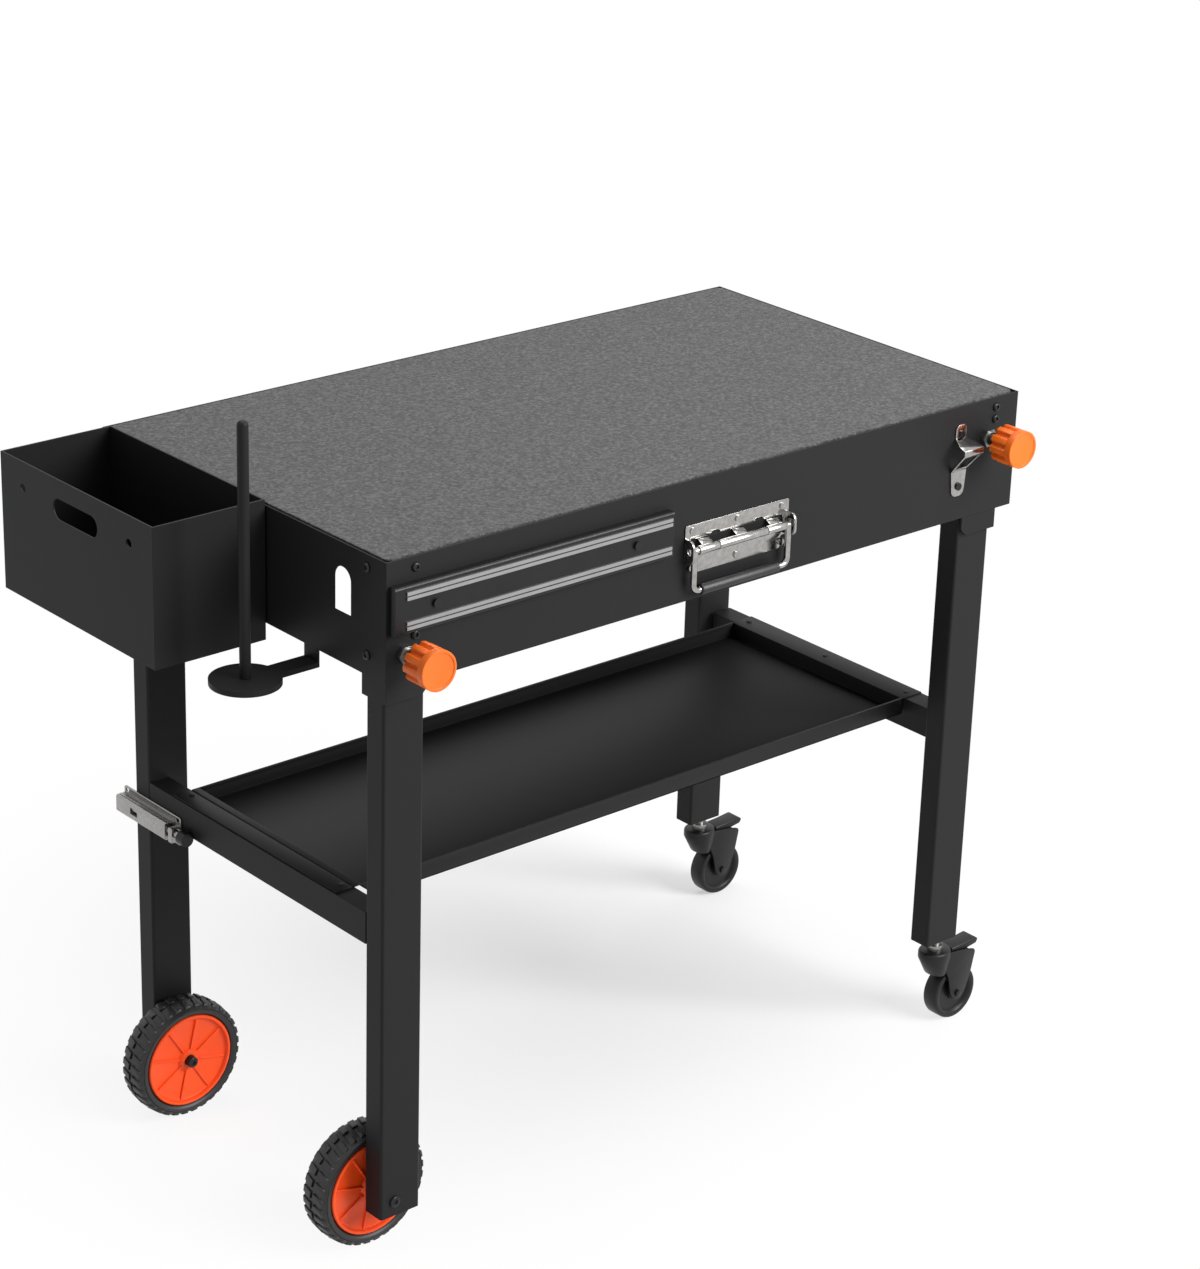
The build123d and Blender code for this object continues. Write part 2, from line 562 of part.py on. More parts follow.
def axle(lane_y, inward):
    """Stub axle: head on the leg's outer face, shank through leg and wheel, cap beyond the wheel."""
    outer_y = lane_y if inward > 0 else lane_y + LEG_THICK
    wheel_face = outer_y + inward * (LEG_THICK + WHEEL_GAP + WHEEL_WIDTH)
    tip = wheel_face + inward * (RUN_GAP + AXLE_CAP)
    cap_start = wheel_face + inward * RUN_GAP
    shank = rod_y(min(outer_y, tip), max(outer_y, tip), AXLE_X, AXLE_Z, AXLE_R)
    head_y = outer_y - inward * BOLT_HEAD
    head = rod_y(min(outer_y, head_y), max(outer_y, head_y), AXLE_X, AXLE_Z, AXLE_CAP_R)
    cap = rod_y(min(cap_start, tip), max(cap_start, tip), AXLE_X, AXLE_Z, AXLE_CAP_R)
    spacer_y = outer_y + inward * LEG_THICK
    spacer_end = spacer_y + inward * (WHEEL_GAP - RUN_GAP)
    spacer = rod_y(min(spacer_y, spacer_end), max(spacer_y, spacer_end), AXLE_X, AXLE_Z, AXLE_CAP_R)
    return shank + head + cap + spacer


for lane, lane_y in LANES.items():
    inward = 1 if lane == "front" else -1
    inner_y = lane_y + LEG_THICK + WHEEL_GAP if inward > 0 else lane_y - WHEEL_GAP
    rim, tyre = wheel(inner_y, inward)
    nodes[f"{lane}_wheel_rim"] = rim
    nodes[f"{lane}_wheel_tyre"] = tyre
    nodes[f"{lane}_wheel_axle"] = axle(lane_y, inward)


def caster(lane_y):
    """Swivel caster: stem, fork, wheel, axle and brake pedal on its pin, trailing to the right."""
    x, y = CASTER_X, lane_y + LEG_THICK / 2
    axle_x, axle_z = x + CASTER_TRAIL, CASTER_R
    half = CASTER_WIDTH / 2 + RUN_GAP
    stem = rod_z(FORK_TOP_Z, RIGHT_LEG_BOTTOM + STEM_RISE - STEM_SHORT, x, y, STEM_R)
    stem += rod_z(FORK_TOP_Z, FORK_TOP_Z + STEM_NUT, x, y, STEM_NUT_R)
    crown_bottom = FORK_TOP_Z - FORK_TOP_THICK
    roof = crown_bottom + FORK_BACK_RISE
    back_x = axle_x + FORK_BACK
    fork = rod_z(crown_bottom, FORK_TOP_Z, x, y, FORK_TOP_R)
    fork += block(x, back_x, y - half - FORK_CHEEK, y + half + FORK_CHEEK, crown_bottom, roof)
    cheek = [
        (x - FORK_FRONT, FORK_TOP_Z - FORK_FRONT_DROP),
        (axle_x - FORK_EYE, axle_z),
        (axle_x - FORK_EYE / 2, axle_z - FORK_EYE),
        (axle_x + FORK_EYE / 2, axle_z - FORK_EYE),
        (back_x, axle_z + CASTER_R / 2),
        (back_x, roof),
        (x, FORK_TOP_Z - FORK_FRONT_DROP),
    ]
    pin_x = x + FORK_TOP_R + RUN_GAP + PEDAL_THICK / 2
    for y0 in (y - half - FORK_CHEEK, y + half):
        fork += plate_xz(cheek, y0, y0 + FORK_CHEEK)
        fork += rod_y(y0, y0 + FORK_CHEEK, pin_x, PEDAL_Z, PEDAL_EYE)
        fork += block(pin_x - PEDAL_EYE, pin_x + PEDAL_EYE, y0, y0 + FORK_CHEEK, crown_bottom, PEDAL_Z)
    fork -= rod_y(y - half, y + half, axle_x, axle_z, CASTER_R + FORK_WHEEL_GAP)
    fork -= hole_y(axle_x, axle_z, y - half - FORK_CHEEK - 1, y + half + FORK_CHEEK + 1, CASTER_AXLE_R)
    fork += rod_y(y - half, y + half, pin_x, PEDAL_Z, PEDAL_PIN_R)
    axle_pin = rod_y(y - half - FORK_CHEEK, y + half + FORK_CHEEK, axle_x, axle_z, CASTER_AXLE_R)
    roller = rod_y(y - CASTER_WIDTH / 2, y + CASTER_WIDTH / 2, axle_x, axle_z, CASTER_R)
    roller = fillet(roller.edges().filter_by(GeomType.CIRCLE), CASTER_EDGE)
    roller -= hole_y(axle_x, axle_z, y - half, y + half, CASTER_AXLE_R)
    low, high = PEDAL_Z - PEDAL_THICK / 2, PEDAL_Z + PEDAL_THICK / 2
    tip_x = x + PEDAL_REACH
    pedal_shape = [
        (pin_x, low),
        (tip_x - PEDAL_TOE, low),
        (tip_x, low + PEDAL_TOE_RISE),
        (tip_x - PEDAL_TOE_TIP, high + PEDAL_TOE_RISE),
        (tip_x - PEDAL_TOE - PEDAL_TOE_TIP, high),
        (pin_x, high),
    ]
    pedal_half = CASTER_WIDTH / 2
    pedal = plate_xz(pedal_shape, y - pedal_half, y + pedal_half)
    pedal += rod_y(y - pedal_half, y + pedal_half, pin_x, PEDAL_Z, PEDAL_THICK / 2)
    pedal -= hole_y(pin_x, PEDAL_Z, y - half, y + half, PEDAL_PIN_R)
    return {"stem": stem, "fork": fork, "axle": axle_pin, "wheel": roller, "brake_pedal": pedal}


for lane, lane_y in LANES.items():
    for name, shape in caster(lane_y).items():
        nodes[f"{lane}_caster_{name}"] = shape


def shelf_tray():
    """Pressed tray: flanges on rail and end bar, a sloped left wall, a sunk floor, two upturned edges."""
    top, floor = SHELF_TOP, SHELF_FLOOR
    under = floor - SHEET
    slope_top = SHELF_LEFT + SHELF_FLANGE
    slope_foot = slope_top + SHELF_SLOPE
    wall = SHELF_RIGHT - SHELF_END_FLANGE
    pressing = [
        (SHELF_LEFT, top), (slope_top, top), (slope_foot, floor), (wall - SHEET, floor), (wall - SHEET, top),
        (SHELF_RIGHT, top), (SHELF_RIGHT, top - SHEET), (wall, top - SHEET), (wall, under),
        (slope_foot - SHEET / 2, under), (slope_top - SHEET / 2, top - SHEET), (SHELF_LEFT, top - SHEET),
    ]
    edge = [
        (slope_top - SHEET / 2, top - SHEET), (slope_top, top), (wall, top), (wall, under),
        (slope_foot - SHEET / 2, under),
    ]
    tray = plate_xz(pressing, SHELF_FRONT, SHELF_REAR)
    for y in (SHELF_FRONT, SHELF_REAR - SHEET):
        tray += plate_xz(edge, y, y + SHEET)
    return tray


nodes["shelf_tray"] = shelf_tray()
bar = block(SHELF_BAR_X, SHELF_RIGHT, SHELF_BAR_FRONT, SHELF_BAR_REAR, RAIL_BOTTOM, SHELF_TOP - SHEET)
bar_core = block(SHELF_BAR_X + LEG_WALL, SHELF_RIGHT - LEG_WALL, SHELF_BAR_FRONT - 1, SHELF_BAR_REAR + 1,
                 RAIL_BOTTOM + LEG_WALL, SHELF_TOP - SHEET - LEG_WALL)
nodes["shelf_end_bar"] = bar - bar_core


def shelf_latch():
    """Door-bolt latch on the outer face of the rear left leg: base plate, case, sliding bolt and knob."""
    y1 = REAR_LANE + LEG_THICK + LATCH_BACK
    y0 = y1 - LATCH_LENGTH
    z0 = RAIL_BOTTOM - LATCH_DROP
    z1 = z0 + LATCH_HEIGHT
    mid_z = z0 + LATCH_HEIGHT / 2
    face = LEFT_LEG_X
    plate = block(face - LATCH_PLATE, face, y0, y1, z0, z1)
    case_x = face - LATCH_PLATE - LATCH_CASE
    case = block(case_x, face - LATCH_PLATE, y0 + LATCH_TAB, y1 - LATCH_TAB,
                 z0 + LATCH_STEP, z1 - LATCH_STEP)
    bore_x = face - LATCH_PLATE - LATCH_CASE / 2
    case -= hole_y(bore_x, mid_z, y0, y1, LATCH_BOLT_R)
    knob_y = y0 - LATCH_STICK_OUT
    bolt = rod_y(knob_y, y1 - LATCH_STICK_OUT, bore_x, mid_z, LATCH_BOLT_R)
    knob = rod_y(knob_y - LATCH_KNOB, knob_y, bore_x, mid_z, LATCH_KNOB_R)
    return plate + case, bolt, knob


nodes["latch_body"], nodes["latch_bolt"], nodes["latch_knob"] = shelf_latch()


def caddy_tray():
    """Open sheet box with a grip cut-out in its outer wall and a lower wall beside the case."""
    box = block(-CADDY_OUT, CADDY_IN, CADDY_FRONT, CADDY_REAR, CADDY_BOTTOM, CADDY_TOP)
    box -= block(-CADDY_OUT + CADDY_SHEET, CADDY_IN - CADDY_SHEET, CADDY_FRONT + CADDY_SHEET,
                 CADDY_REAR - CADDY_SHEET, CADDY_BOTTOM + CADDY_SHEET, CADDY_TOP + 1)
    grip_r = GRIP_HEIGHT / 2
    run = GRIP_LENGTH / 2 - grip_r
    cut0, cut1 = -CADDY_OUT - 1, -CADDY_OUT + CADDY_SHEET + 1
    box -= block(cut0, cut1, CADDY_MID - run, CADDY_MID + run, GRIP_Z - grip_r, GRIP_Z + grip_r)
    for y in (CADDY_MID - run, CADDY_MID + run):
        box -= rod_x(cut0, cut1, y, GRIP_Z, grip_r)
    for y in (CADDY_MID - CADDY_HOLE_SPACING / 2, CADDY_MID + CADDY_HOLE_SPACING / 2):
        box -= rod_x(cut0, cut1, y, CADDY_TOP - CADDY_HOLE_DROP, CADDY_HOLE_R)
    return box


nodes["caddy_tray"] = caddy_tray()


def caddy_hooks():
    """Two bent tabs on the caddy's inner wall that drop behind slots in the end plate."""
    hooks = []
    for y in HOOK_PLACES:
        y0, y1 = y - HOOK_WIDE / 2, y + HOOK_WIDE / 2
        hook = block(CADDY_IN, SHEET + RUN_GAP + CADDY_SHEET, y0, y1, HOOK_Z - HOOK_NECK, HOOK_Z)
        hook += block(SHEET + RUN_GAP, SHEET + RUN_GAP + CADDY_SHEET, y0, y1,
                      HOOK_Z - HOOK_NECK - HOOK_TURN, HOOK_Z)
        hooks.append(hook)
    return Compound(children=hooks)


nodes["caddy_hooks"] = caddy_hooks()


def roll_holder():
    """Strap fixed inside the end plate, with a round foot and an upright spindle."""
    y0, y1 = ROLL_Y - ROLL_ARM_WIDE / 2, ROLL_Y + ROLL_ARM_WIDE / 2
    arm = block(ROLL_X, SHEET + CADDY_SHEET, y0, y1, ROLL_BASE_Z - ROLL_ARM_THICK, ROLL_BASE_Z)
    arm += rod_z(ROLL_BASE_Z - ROLL_ARM_THICK, ROLL_BASE_Z, ROLL_X, ROLL_Y, ROLL_DISC_R)
    arm += block(SHEET, SHEET + CADDY_SHEET, y0, y1, ROLL_BASE_Z - ROLL_ARM_THICK, END_BOTTOM + ROLL_ARM_LAP)
    spindle = rod_z(ROLL_BASE_Z, ROLL_BASE_Z + SPINDLE_LENGTH, ROLL_X, ROLL_Y, SPINDLE_R)
    top = spindle.edges().filter_by(GeomType.CIRCLE).sort_by(Axis.Z)[-1]
    return arm, fillet(top, SPINDLE_NOSE)


nodes["roll_arm"], nodes["roll_spindle"] = roll_holder()


def tool_rail():
    """Magnetic bar: a black body, two pairs of steel strips and its screws."""
    x0, x1 = RAIL_BAR_X, RAIL_BAR_X + RAIL_BAR_LENGTH
    z0, z1 = RAIL_BAR_BOTTOM, RAIL_BAR_BOTTOM + RAIL_BAR_HEIGHT
    body = block(x0, x1, -RAIL_BAR_THICK, 0, z0, z1)
    body = fillet(body.edges().filter_by(Axis.X).group_by(Axis.Y)[0], RAIL_BAR_EDGE)
    strips = []
    for low in (STRIP_LOW, STRIP_HIGH):
        low_z = z0 + low
        for strip_z in (low_z, low_z + STRIP_PITCH):
            strip = block(x0 + STRIP_START, x1 - STRIP_END, -RAIL_BAR_THICK - STRIP_THICK, -RAIL_BAR_THICK,
                          strip_z, strip_z + STRIP_HEIGHT)
            strips.append(strip)
    mid_x, mid_z = (x0 + x1) / 2, z0 + RAIL_BAR_HEIGHT / 2
    screws = []
    for x in (mid_x - RAIL_SCREW_SPACING / 2, mid_x + RAIL_SCREW_SPACING / 2):
        body -= hole_y(x, mid_z, -RAIL_BAR_THICK - 1, 1, BOLT_R)
        screws.append(bolt_y(x, -RAIL_BAR_THICK, mid_z, -1, RAIL_BAR_THICK))
    for x, z in APRON_BOLTS:
        body -= rod_y(-BOLT_HEAD - RUN_GAP, 1, x, z, BOLT_HEAD_R + RUN_GAP)
    return body, Compound(children=strips), Compound(children=screws)


nodes["tool_rail"], nodes["tool_rail_strips"], nodes["tool_rail_screws"] = tool_rail()


def bail_handle():
    """Pressed plate with two ears, rivets, and a bail that swings between them."""
    half = HANDLE_PLATE_LENGTH / 2
    x0, x1 = HANDLE_X - half, HANDLE_X + half
    plate = block(x0, x1, -HANDLE_PLATE, 0, HANDLE_PLATE_BOTTOM, HANDLE_PLATE_BOTTOM + HANDLE_PLATE_HEIGHT)
    plate = fillet(plate.edges().filter_by(Axis.Y), HANDLE_PLATE_CORNER)
    eye_r = BAIL_R + HOLE_GAP + HANDLE_EAR_WALL
    axis_y = -HANDLE_PLATE - HANDLE_AXIS_OUT
    ear_in = BAIL_WIDE / 2 - BAIL_R - HANDLE_EAR_GAP
    for ear_x in (HANDLE_X - ear_in, HANDLE_X + ear_in - HANDLE_EAR):
        ear = rod_x(ear_x, ear_x + HANDLE_EAR, axis_y, HANDLE_AXIS_Z, eye_r)
        ear += block(ear_x, ear_x + HANDLE_EAR, axis_y, -HANDLE_PLATE,
                     HANDLE_AXIS_Z - eye_r, HANDLE_AXIS_Z + eye_r)
        plate += ear
    plate -= rod_x(x0, x1, axis_y, HANDLE_AXIS_Z, BAIL_R + HOLE_GAP)
    rivets = []
    plate_top = HANDLE_PLATE_BOTTOM + HANDLE_PLATE_HEIGHT
    for x in (x0 + RIVET_SIDE, HANDLE_X, x1 - RIVET_SIDE):
        for z in (HANDLE_PLATE_BOTTOM + RIVET_EDGE, plate_top - RIVET_EDGE):
            rivets.append(rod_y(-HANDLE_PLATE - RIVET_HEAD, -HANDLE_PLATE, x, z, RIVET_R))
    left, right = HANDLE_X - BAIL_WIDE / 2, HANDLE_X + BAIL_WIDE / 2
    low = HANDLE_AXIS_Z - BAIL_DROP
    corners = [(left, HANDLE_AXIS_Z), (left, low), (right, low), (right, HANDLE_AXIS_Z)]
    path = FilletPolyline(*[(x, axis_y, z) for x, z in corners], radius=BAIL_CORNER)
    loop = sweep(Plane(origin=path @ 0, z_dir=path % 0) * Circle(BAIL_R), path)
    bail = loop + rod_x(left, right, axis_y, HANDLE_AXIS_Z, BAIL_R)
    for x in (left, right):
        bail += Pos(x, axis_y, HANDLE_AXIS_Z) * Sphere(BAIL_R)
    return plate, Compound(children=rivets), bail


nodes["handle_plate"], nodes["handle_rivets"], nodes["handle_bail"] = bail_handle()


def bottle_opener():
    """Bent strip: a tab above, a bulge whose face catches a cap, a tab below, and its two screws."""
    half = OPENER_WIDE / 2
    high = OPENER_TOP - OPENER_LIP_DROP + OPENER_LIP_FACE / 2
    low = high - OPENER_LIP_FACE
    tab_high = OPENER_TOP - OPENER_TOP_TAB
    tab_low = OPENER_BOTTOM + OPENER_LOW_TAB
    outline = [
        (0, OPENER_TOP),
        (0, tab_high),
        (OPENER_PLATE - OPENER_LIP_OUT, high),
        (OPENER_PLATE - OPENER_LIP_OUT, low),
        (0, tab_low),
        (0, OPENER_BOTTOM),
        (-OPENER_PLATE, OPENER_BOTTOM),
        (-OPENER_PLATE, tab_low - OPENER_PLATE),
        (-OPENER_LIP_OUT, low - OPENER_PLATE),
        (-OPENER_LIP_OUT, high + OPENER_PLATE),
        (-OPENER_PLATE, tab_high + OPENER_PLATE),
        (-OPENER_PLATE, OPENER_TOP),
    ]
    face = make_face(Polyline(*[(OPENER_X - half, y, z) for y, z in outline], close=True))
    strip = extrude(face, OPENER_WIDE, dir=(1, 0, 0))
    strip = fillet(strip.edges().filter_by(Axis.Y), OPENER_CORNER)
    screws = []
    for z in (OPENER_TOP - OPENER_HOLE_EDGE, OPENER_BOTTOM + OPENER_HOLE_EDGE):
        screws.append(rod_y(-OPENER_PLATE - OPENER_SCREW_HEAD, -OPENER_PLATE, OPENER_X, z, OPENER_SCREW_R))
    return strip, Compound(children=screws)


nodes["opener_plate"], nodes["opener_screws"] = bottle_opener()

# The origin is on the floor under the middle of the whole table
whole = Compound(children=[Compound(children=shape.solids()) for shape in nodes.values()]).bounding_box()
ORIGIN_X = (whole.min.X + whole.max.X) / 2
ORIGIN_Y = (whole.min.Y + whole.max.Y) / 2

os.makedirs("parts", exist_ok=True)
for name, shape in nodes.items():
    solids = [Pos(-ORIGIN_X, -ORIGIN_Y, 0) * solid for solid in shape.solids()]
    export_step(Compound(children=solids) if len(solids) > 1 else solids[0], f"parts/{name}.step")
print(len(nodes), "nodes; origin at", round(ORIGIN_X, 3), round(ORIGIN_Y, 3))
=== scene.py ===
"""Folding grill table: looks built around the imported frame, in metres."""
import math

import bmesh
import bpy
from mathutils import Matrix, Vector


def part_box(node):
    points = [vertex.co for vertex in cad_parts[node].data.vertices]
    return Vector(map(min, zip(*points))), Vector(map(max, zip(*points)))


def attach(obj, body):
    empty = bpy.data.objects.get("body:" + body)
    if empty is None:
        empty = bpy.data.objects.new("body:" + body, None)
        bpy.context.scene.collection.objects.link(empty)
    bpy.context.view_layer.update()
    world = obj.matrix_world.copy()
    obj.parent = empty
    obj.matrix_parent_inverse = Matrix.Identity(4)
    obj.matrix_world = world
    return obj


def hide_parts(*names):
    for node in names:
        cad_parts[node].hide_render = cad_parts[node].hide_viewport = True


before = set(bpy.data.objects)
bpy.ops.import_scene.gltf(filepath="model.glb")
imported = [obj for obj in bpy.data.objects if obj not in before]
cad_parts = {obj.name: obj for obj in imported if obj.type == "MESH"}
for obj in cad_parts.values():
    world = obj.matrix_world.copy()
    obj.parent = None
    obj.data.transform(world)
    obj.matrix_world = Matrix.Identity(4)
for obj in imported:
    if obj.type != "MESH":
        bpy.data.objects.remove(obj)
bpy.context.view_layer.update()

# Case of the table: two aprons, two end plates and the deck, folded from steel sheet.
# The sheets are bolted together and coated as one in satin black polyester powder.
POWDER_BLACK = "#242425"
POWDER_DARK = "#1b1b1c"
POWDER_PEEL_MM = 1.6
POWDER_GRAIN_MM = 0.5
SHEET_EDGE = 0.0008
apron_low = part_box("front_apron")[0]


def from_corner(x, y, z):
    """Point of the table, in millimetres from its front left corner on the floor."""
    return Vector((apron_low.x + x / 1000, apron_low.y + y / 1000, z / 1000))


def linear(hex_colour):
    """sRGB hex value as a linear colour."""
    parts = [int(hex_colour[i:i + 2], 16) / 255 for i in (1, 3, 5)]
    curve = [p / 12.92 if p <= 0.04045 else ((p + 0.055) / 1.055) ** 2.4 for p in parts]
    return (*curve, 1.0)


def per_metre(size_mm):
    """Texture scale that repeats about once in a size given in millimetres."""
    return 1000.0 / size_mm


def new_finish(name):
    """Empty node material, ready for its nodes."""
    material = bpy.data.materials.new(name)
    material.use_nodes = True
    material.node_tree.nodes.clear()
    return material, material.node_tree


def add_node(tree, kind, inputs=None, **settings):
    """Adds one shader node; an input is a plain value, or a node and the name of its output."""
    node = tree.nodes.new(kind)
    for name, value in settings.items():
        setattr(node, name, value)
    for socket, value in (inputs or {}).items():
        if isinstance(value, tuple) and isinstance(value[0], bpy.types.Node):
            tree.links.new(value[0].outputs[value[1]], node.inputs[socket])
        else:
            node.inputs[socket].default_value = value
    return node


def coat_nodes(material, *names):
    """Gives nodes of the frame their finish in every material slot."""
    for name in names:
        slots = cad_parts[name].material_slots
        if not slots:
            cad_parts[name].data.materials.append(material)
        for slot in slots:
            slot.material = material


# Satin polyester powder coat: a soft broad sheen, faint orange peel, fine grain
powder_coat, tree = new_finish("satin_black_powder_coat")
place = add_node(tree, "ShaderNodeTexCoord")
peel = add_node(tree, "ShaderNodeTexNoise", {
    "Vector": (place, "Object"), "Scale": per_metre(POWDER_PEEL_MM), "Detail": 2.0})
grain = add_node(tree, "ShaderNodeTexNoise", {
    "Vector": (place, "Object"), "Scale": per_metre(POWDER_GRAIN_MM), "Detail": 1.0})
tone = add_node(tree, "ShaderNodeMix", {
    0: (grain, "Fac"), 6: linear(POWDER_DARK), 7: linear(POWDER_BLACK)}, data_type="RGBA")
edges = add_node(tree, "ShaderNodeBevel", {"Radius": SHEET_EDGE}, samples=4)
peel_bump = add_node(tree, "ShaderNodeBump", {
    "Strength": 0.06, "Distance": 0.0006, "Height": (peel, "Fac"), "Normal": (edges, "Normal")})
gloss = add_node(tree, "ShaderNodeMapRange", {
    "Value": (peel, "Fac"), "To Min": 0.42, "To Max": 0.52})
coat = add_node(tree, "ShaderNodeBsdfPrincipled", {
    "Base Color": (tone, 2), "Roughness": (gloss, "Result"), "Normal": (peel_bump, "Normal"),
    "Specular IOR Level": 0.12})
add_node(tree, "ShaderNodeOutputMaterial", {"Surface": (coat, 0)})
coat_nodes(powder_coat, "deck_panel", "front_apron", "rear_apron", "left_end_plate", "right_end_plate")

# Deck mat: a sheet of heathered grey needle felt, cut to the deck with rounded corners.
# It lies loose in the shallow tray that the case's upturned edges make.
FELT_MID = "#434344"
FELT_DARK = "#222223"
FELT_LIGHT = "#747475"
FELT_CLUMP_MM = 4.4
FELT_FIBRE_MM = 0.7
FELT_CORNER = 0.008
FELT_EDGE = 0.0012


def settle(name):
    """Names the new primitive and puts its place and size into its mesh."""
    piece = bpy.context.object
    piece.name = name
    piece.data.name = name
    bpy.ops.object.transform_apply(location=True, rotation=True, scale=True)
    return piece


def start_box(name, low, high):
    """Starts a piece as a box between two corners."""
    bpy.ops.object.select_all(action="DESELECT")
    low = Vector(low)
    high = Vector(high)
    bpy.ops.mesh.primitive_cube_add(size=1.0, location=(low + high) / 2, scale=high - low)
    return settle(name)


def pick(piece, kind, test):
    """Opens a piece in edit mode with only the parts that pass a test selected."""
    bpy.ops.object.select_all(action="DESELECT")
    piece.select_set(True)
    bpy.context.view_layer.objects.active = piece
    bpy.ops.object.mode_set(mode="EDIT")
    bpy.ops.mesh.select_mode(type=kind)
    bpy.ops.mesh.select_all(action="DESELECT")
    mesh = bmesh.from_edit_mesh(piece.data)
    for part in {"VERT": mesh.verts, "EDGE": mesh.edges, "FACE": mesh.faces}[kind]:
        if test(part):
            part.select_set(True)
    bmesh.update_edit_mesh(piece.data)


def runs_along(edge, axis):
    """Says whether an edge runs along the x, y or z axis, given as 0, 1 or 2."""
    run = edge.verts[1].co - edge.verts[0].co
    return abs(run[axis]) > 0.999 * run.length


def leave_edit():
    """Goes back to object mode."""
    bpy.ops.object.mode_set(mode="OBJECT")


def use_modifier(piece, kind, **settings):
    """Adds one modifier with its settings and applies it."""
    bpy.context.view_layer.objects.active = piece
    modifier = piece.modifiers.new(kind.lower(), kind)
    for name, value in settings.items():
        setattr(modifier, name, value)
    bpy.ops.object.modifier_apply(modifier=modifier.name)


def smooth_faces(piece, degrees):
    """Shades a piece smooth, apart from edges that are sharper than an angle."""
    bpy.ops.object.select_all(action="DESELECT")
    piece.select_set(True)
    bpy.ops.object.shade_smooth_by_angle(angle=math.radians(degrees))


def ease_edges(piece, width, steps=2):
    """Rounds a piece's sharp edges and shades it smooth between them."""
    use_modifier(piece, "BEVEL", width=width, segments=steps, limit_method="ANGLE",
                 angle_limit=math.radians(35))
    smooth_faces(piece, 40)


def fit_piece(piece, material, slot, body, *nodes):
    """Gives a finished piece its material and body, and the nodes that it stands for."""
    piece.data.materials.clear()
    piece.data.materials.append(material)
    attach(piece, body)
    if nodes:
        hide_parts(*nodes)


mat_low, mat_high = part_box("deck_mat")
felt_mat = start_box("felt_mat", mat_low, mat_high)
pick(felt_mat, "EDGE", lambda e: runs_along(e, 2))
bpy.ops.mesh.bevel(offset=FELT_CORNER, segments=6)
leave_edit()
ease_edges(felt_mat, FELT_EDGE, 3)
# Weighted normals keep the wide top evenly lit beside its rounded edge
use_modifier(felt_mat, "WEIGHTED_NORMAL", keep_sharp=True)

# Needle felt: grey fibres of several shades pressed flat, matt, with a fuzzy fleck
needle_felt, tree = new_finish("heathered_needle_felt")
place = add_node(tree, "ShaderNodeTexCoord")
clumps = add_node(tree, "ShaderNodeTexNoise", {
    "Vector": (place, "Object"), "Scale": per_metre(FELT_CLUMP_MM), "Detail": 4.0, "Roughness": 0.7})
fibres = add_node(tree, "ShaderNodeTexNoise", {
    "Vector": (place, "Object"), "Scale": per_metre(FELT_FIBRE_MM), "Detail": 2.0})
fleck = add_node(tree, "ShaderNodeMath", {0: (clumps, "Fac"), 1: (fibres, "Fac")}, operation="ADD")
half = add_node(tree, "ShaderNodeMath", {0: (fleck, 0), 1: 0.5}, operation="MULTIPLY")
shades = add_node(tree, "ShaderNodeValToRGB", {0: (half, 0)})
shades.color_ramp.elements[0].position = 0.38
shades.color_ramp.elements[0].color = linear(FELT_DARK)
shades.color_ramp.elements[1].position = 0.66
shades.color_ramp.elements[1].color = linear(FELT_LIGHT)
middle = shades.color_ramp.elements.new(0.5)
middle.color = linear(FELT_MID)
nap = add_node(tree, "ShaderNodeBump", {"Strength": 0.5, "Distance": 0.0008, "Height": (half, 0)})
felt = add_node(tree, "ShaderNodeBsdfPrincipled", {
    "Base Color": (shades, "Color"), "Roughness": 0.95, "Normal": (nap, "Normal"),
    "Sheen Weight": 0.15, "Specular IOR Level": 0.15})
add_node(tree, "ShaderNodeOutputMaterial", {"Surface": (felt, 0)})
fit_piece(felt_mat, needle_felt, "felt", "case", "deck_mat")

# Leg brackets and their bolts: folded steel channels inside each corner of the case.
# Black button-head socket screws go through the sheet into them.
coat_nodes(powder_coat, "left_front_bracket", "left_rear_bracket", "right_front_bracket",
           "right_rear_bracket")
HEAD_R = 0.0050
HEAD_HIGH = 0.0028
SOCKET_R = 0.0024
SOCKET_DEEP = 0.0016
HEAD_CROWN = 0.0019
HEAD_EDGE = 0.0001
APRON_SCREWS = ((37, 804), (37, 731), (878, 804), (878, 790))
REAR_FACE = 508
END_SCREW_DEPTHS = (31, 460)
END_SCREW_HEIGHTS = (802, 707)
OXIDE_BLACK = "#1b1b1c"
OXIDE_GREY = "#2c2c2d"
OXIDE_MM = 0.8


def start_rod(name, start, end, radius, sides=48):
    """Starts a piece as a round rod between two points."""
    bpy.ops.object.select_all(action="DESELECT")
    start = Vector(start)
    run = Vector(end) - start
    turn = run.to_track_quat("Z", "Y").to_euler()
    bpy.ops.mesh.primitive_cylinder_add(vertices=sides, radius=radius, depth=run.length,
                                        location=start + run / 2, rotation=turn)
    return settle(name)


def cut_away(piece, tool):
    """Takes a tool's shape out of a piece and removes the tool."""
    use_modifier(piece, "BOOLEAN", operation="DIFFERENCE", solver="EXACT", object=tool)
    bpy.data.objects.remove(tool)


def twin(piece, name, matrix):
    """Copies a piece with a mesh of its own, moved by a matrix."""
    other = piece.copy()
    other.data = piece.data.copy()
    other.name = name
    other.data.name = name
    other.data.transform(matrix)
    bpy.context.collection.objects.link(other)
    return other


def weld_into(name, pieces):
    """Joins finished shells into one piece."""
    bpy.ops.object.select_all(action="DESELECT")
    for piece in pieces:
        piece.select_set(True)
    bpy.context.view_layer.objects.active = pieces[0]
    bpy.ops.object.join()
    pieces[0].name = name
    pieces[0].data.name = name
    return pieces[0]


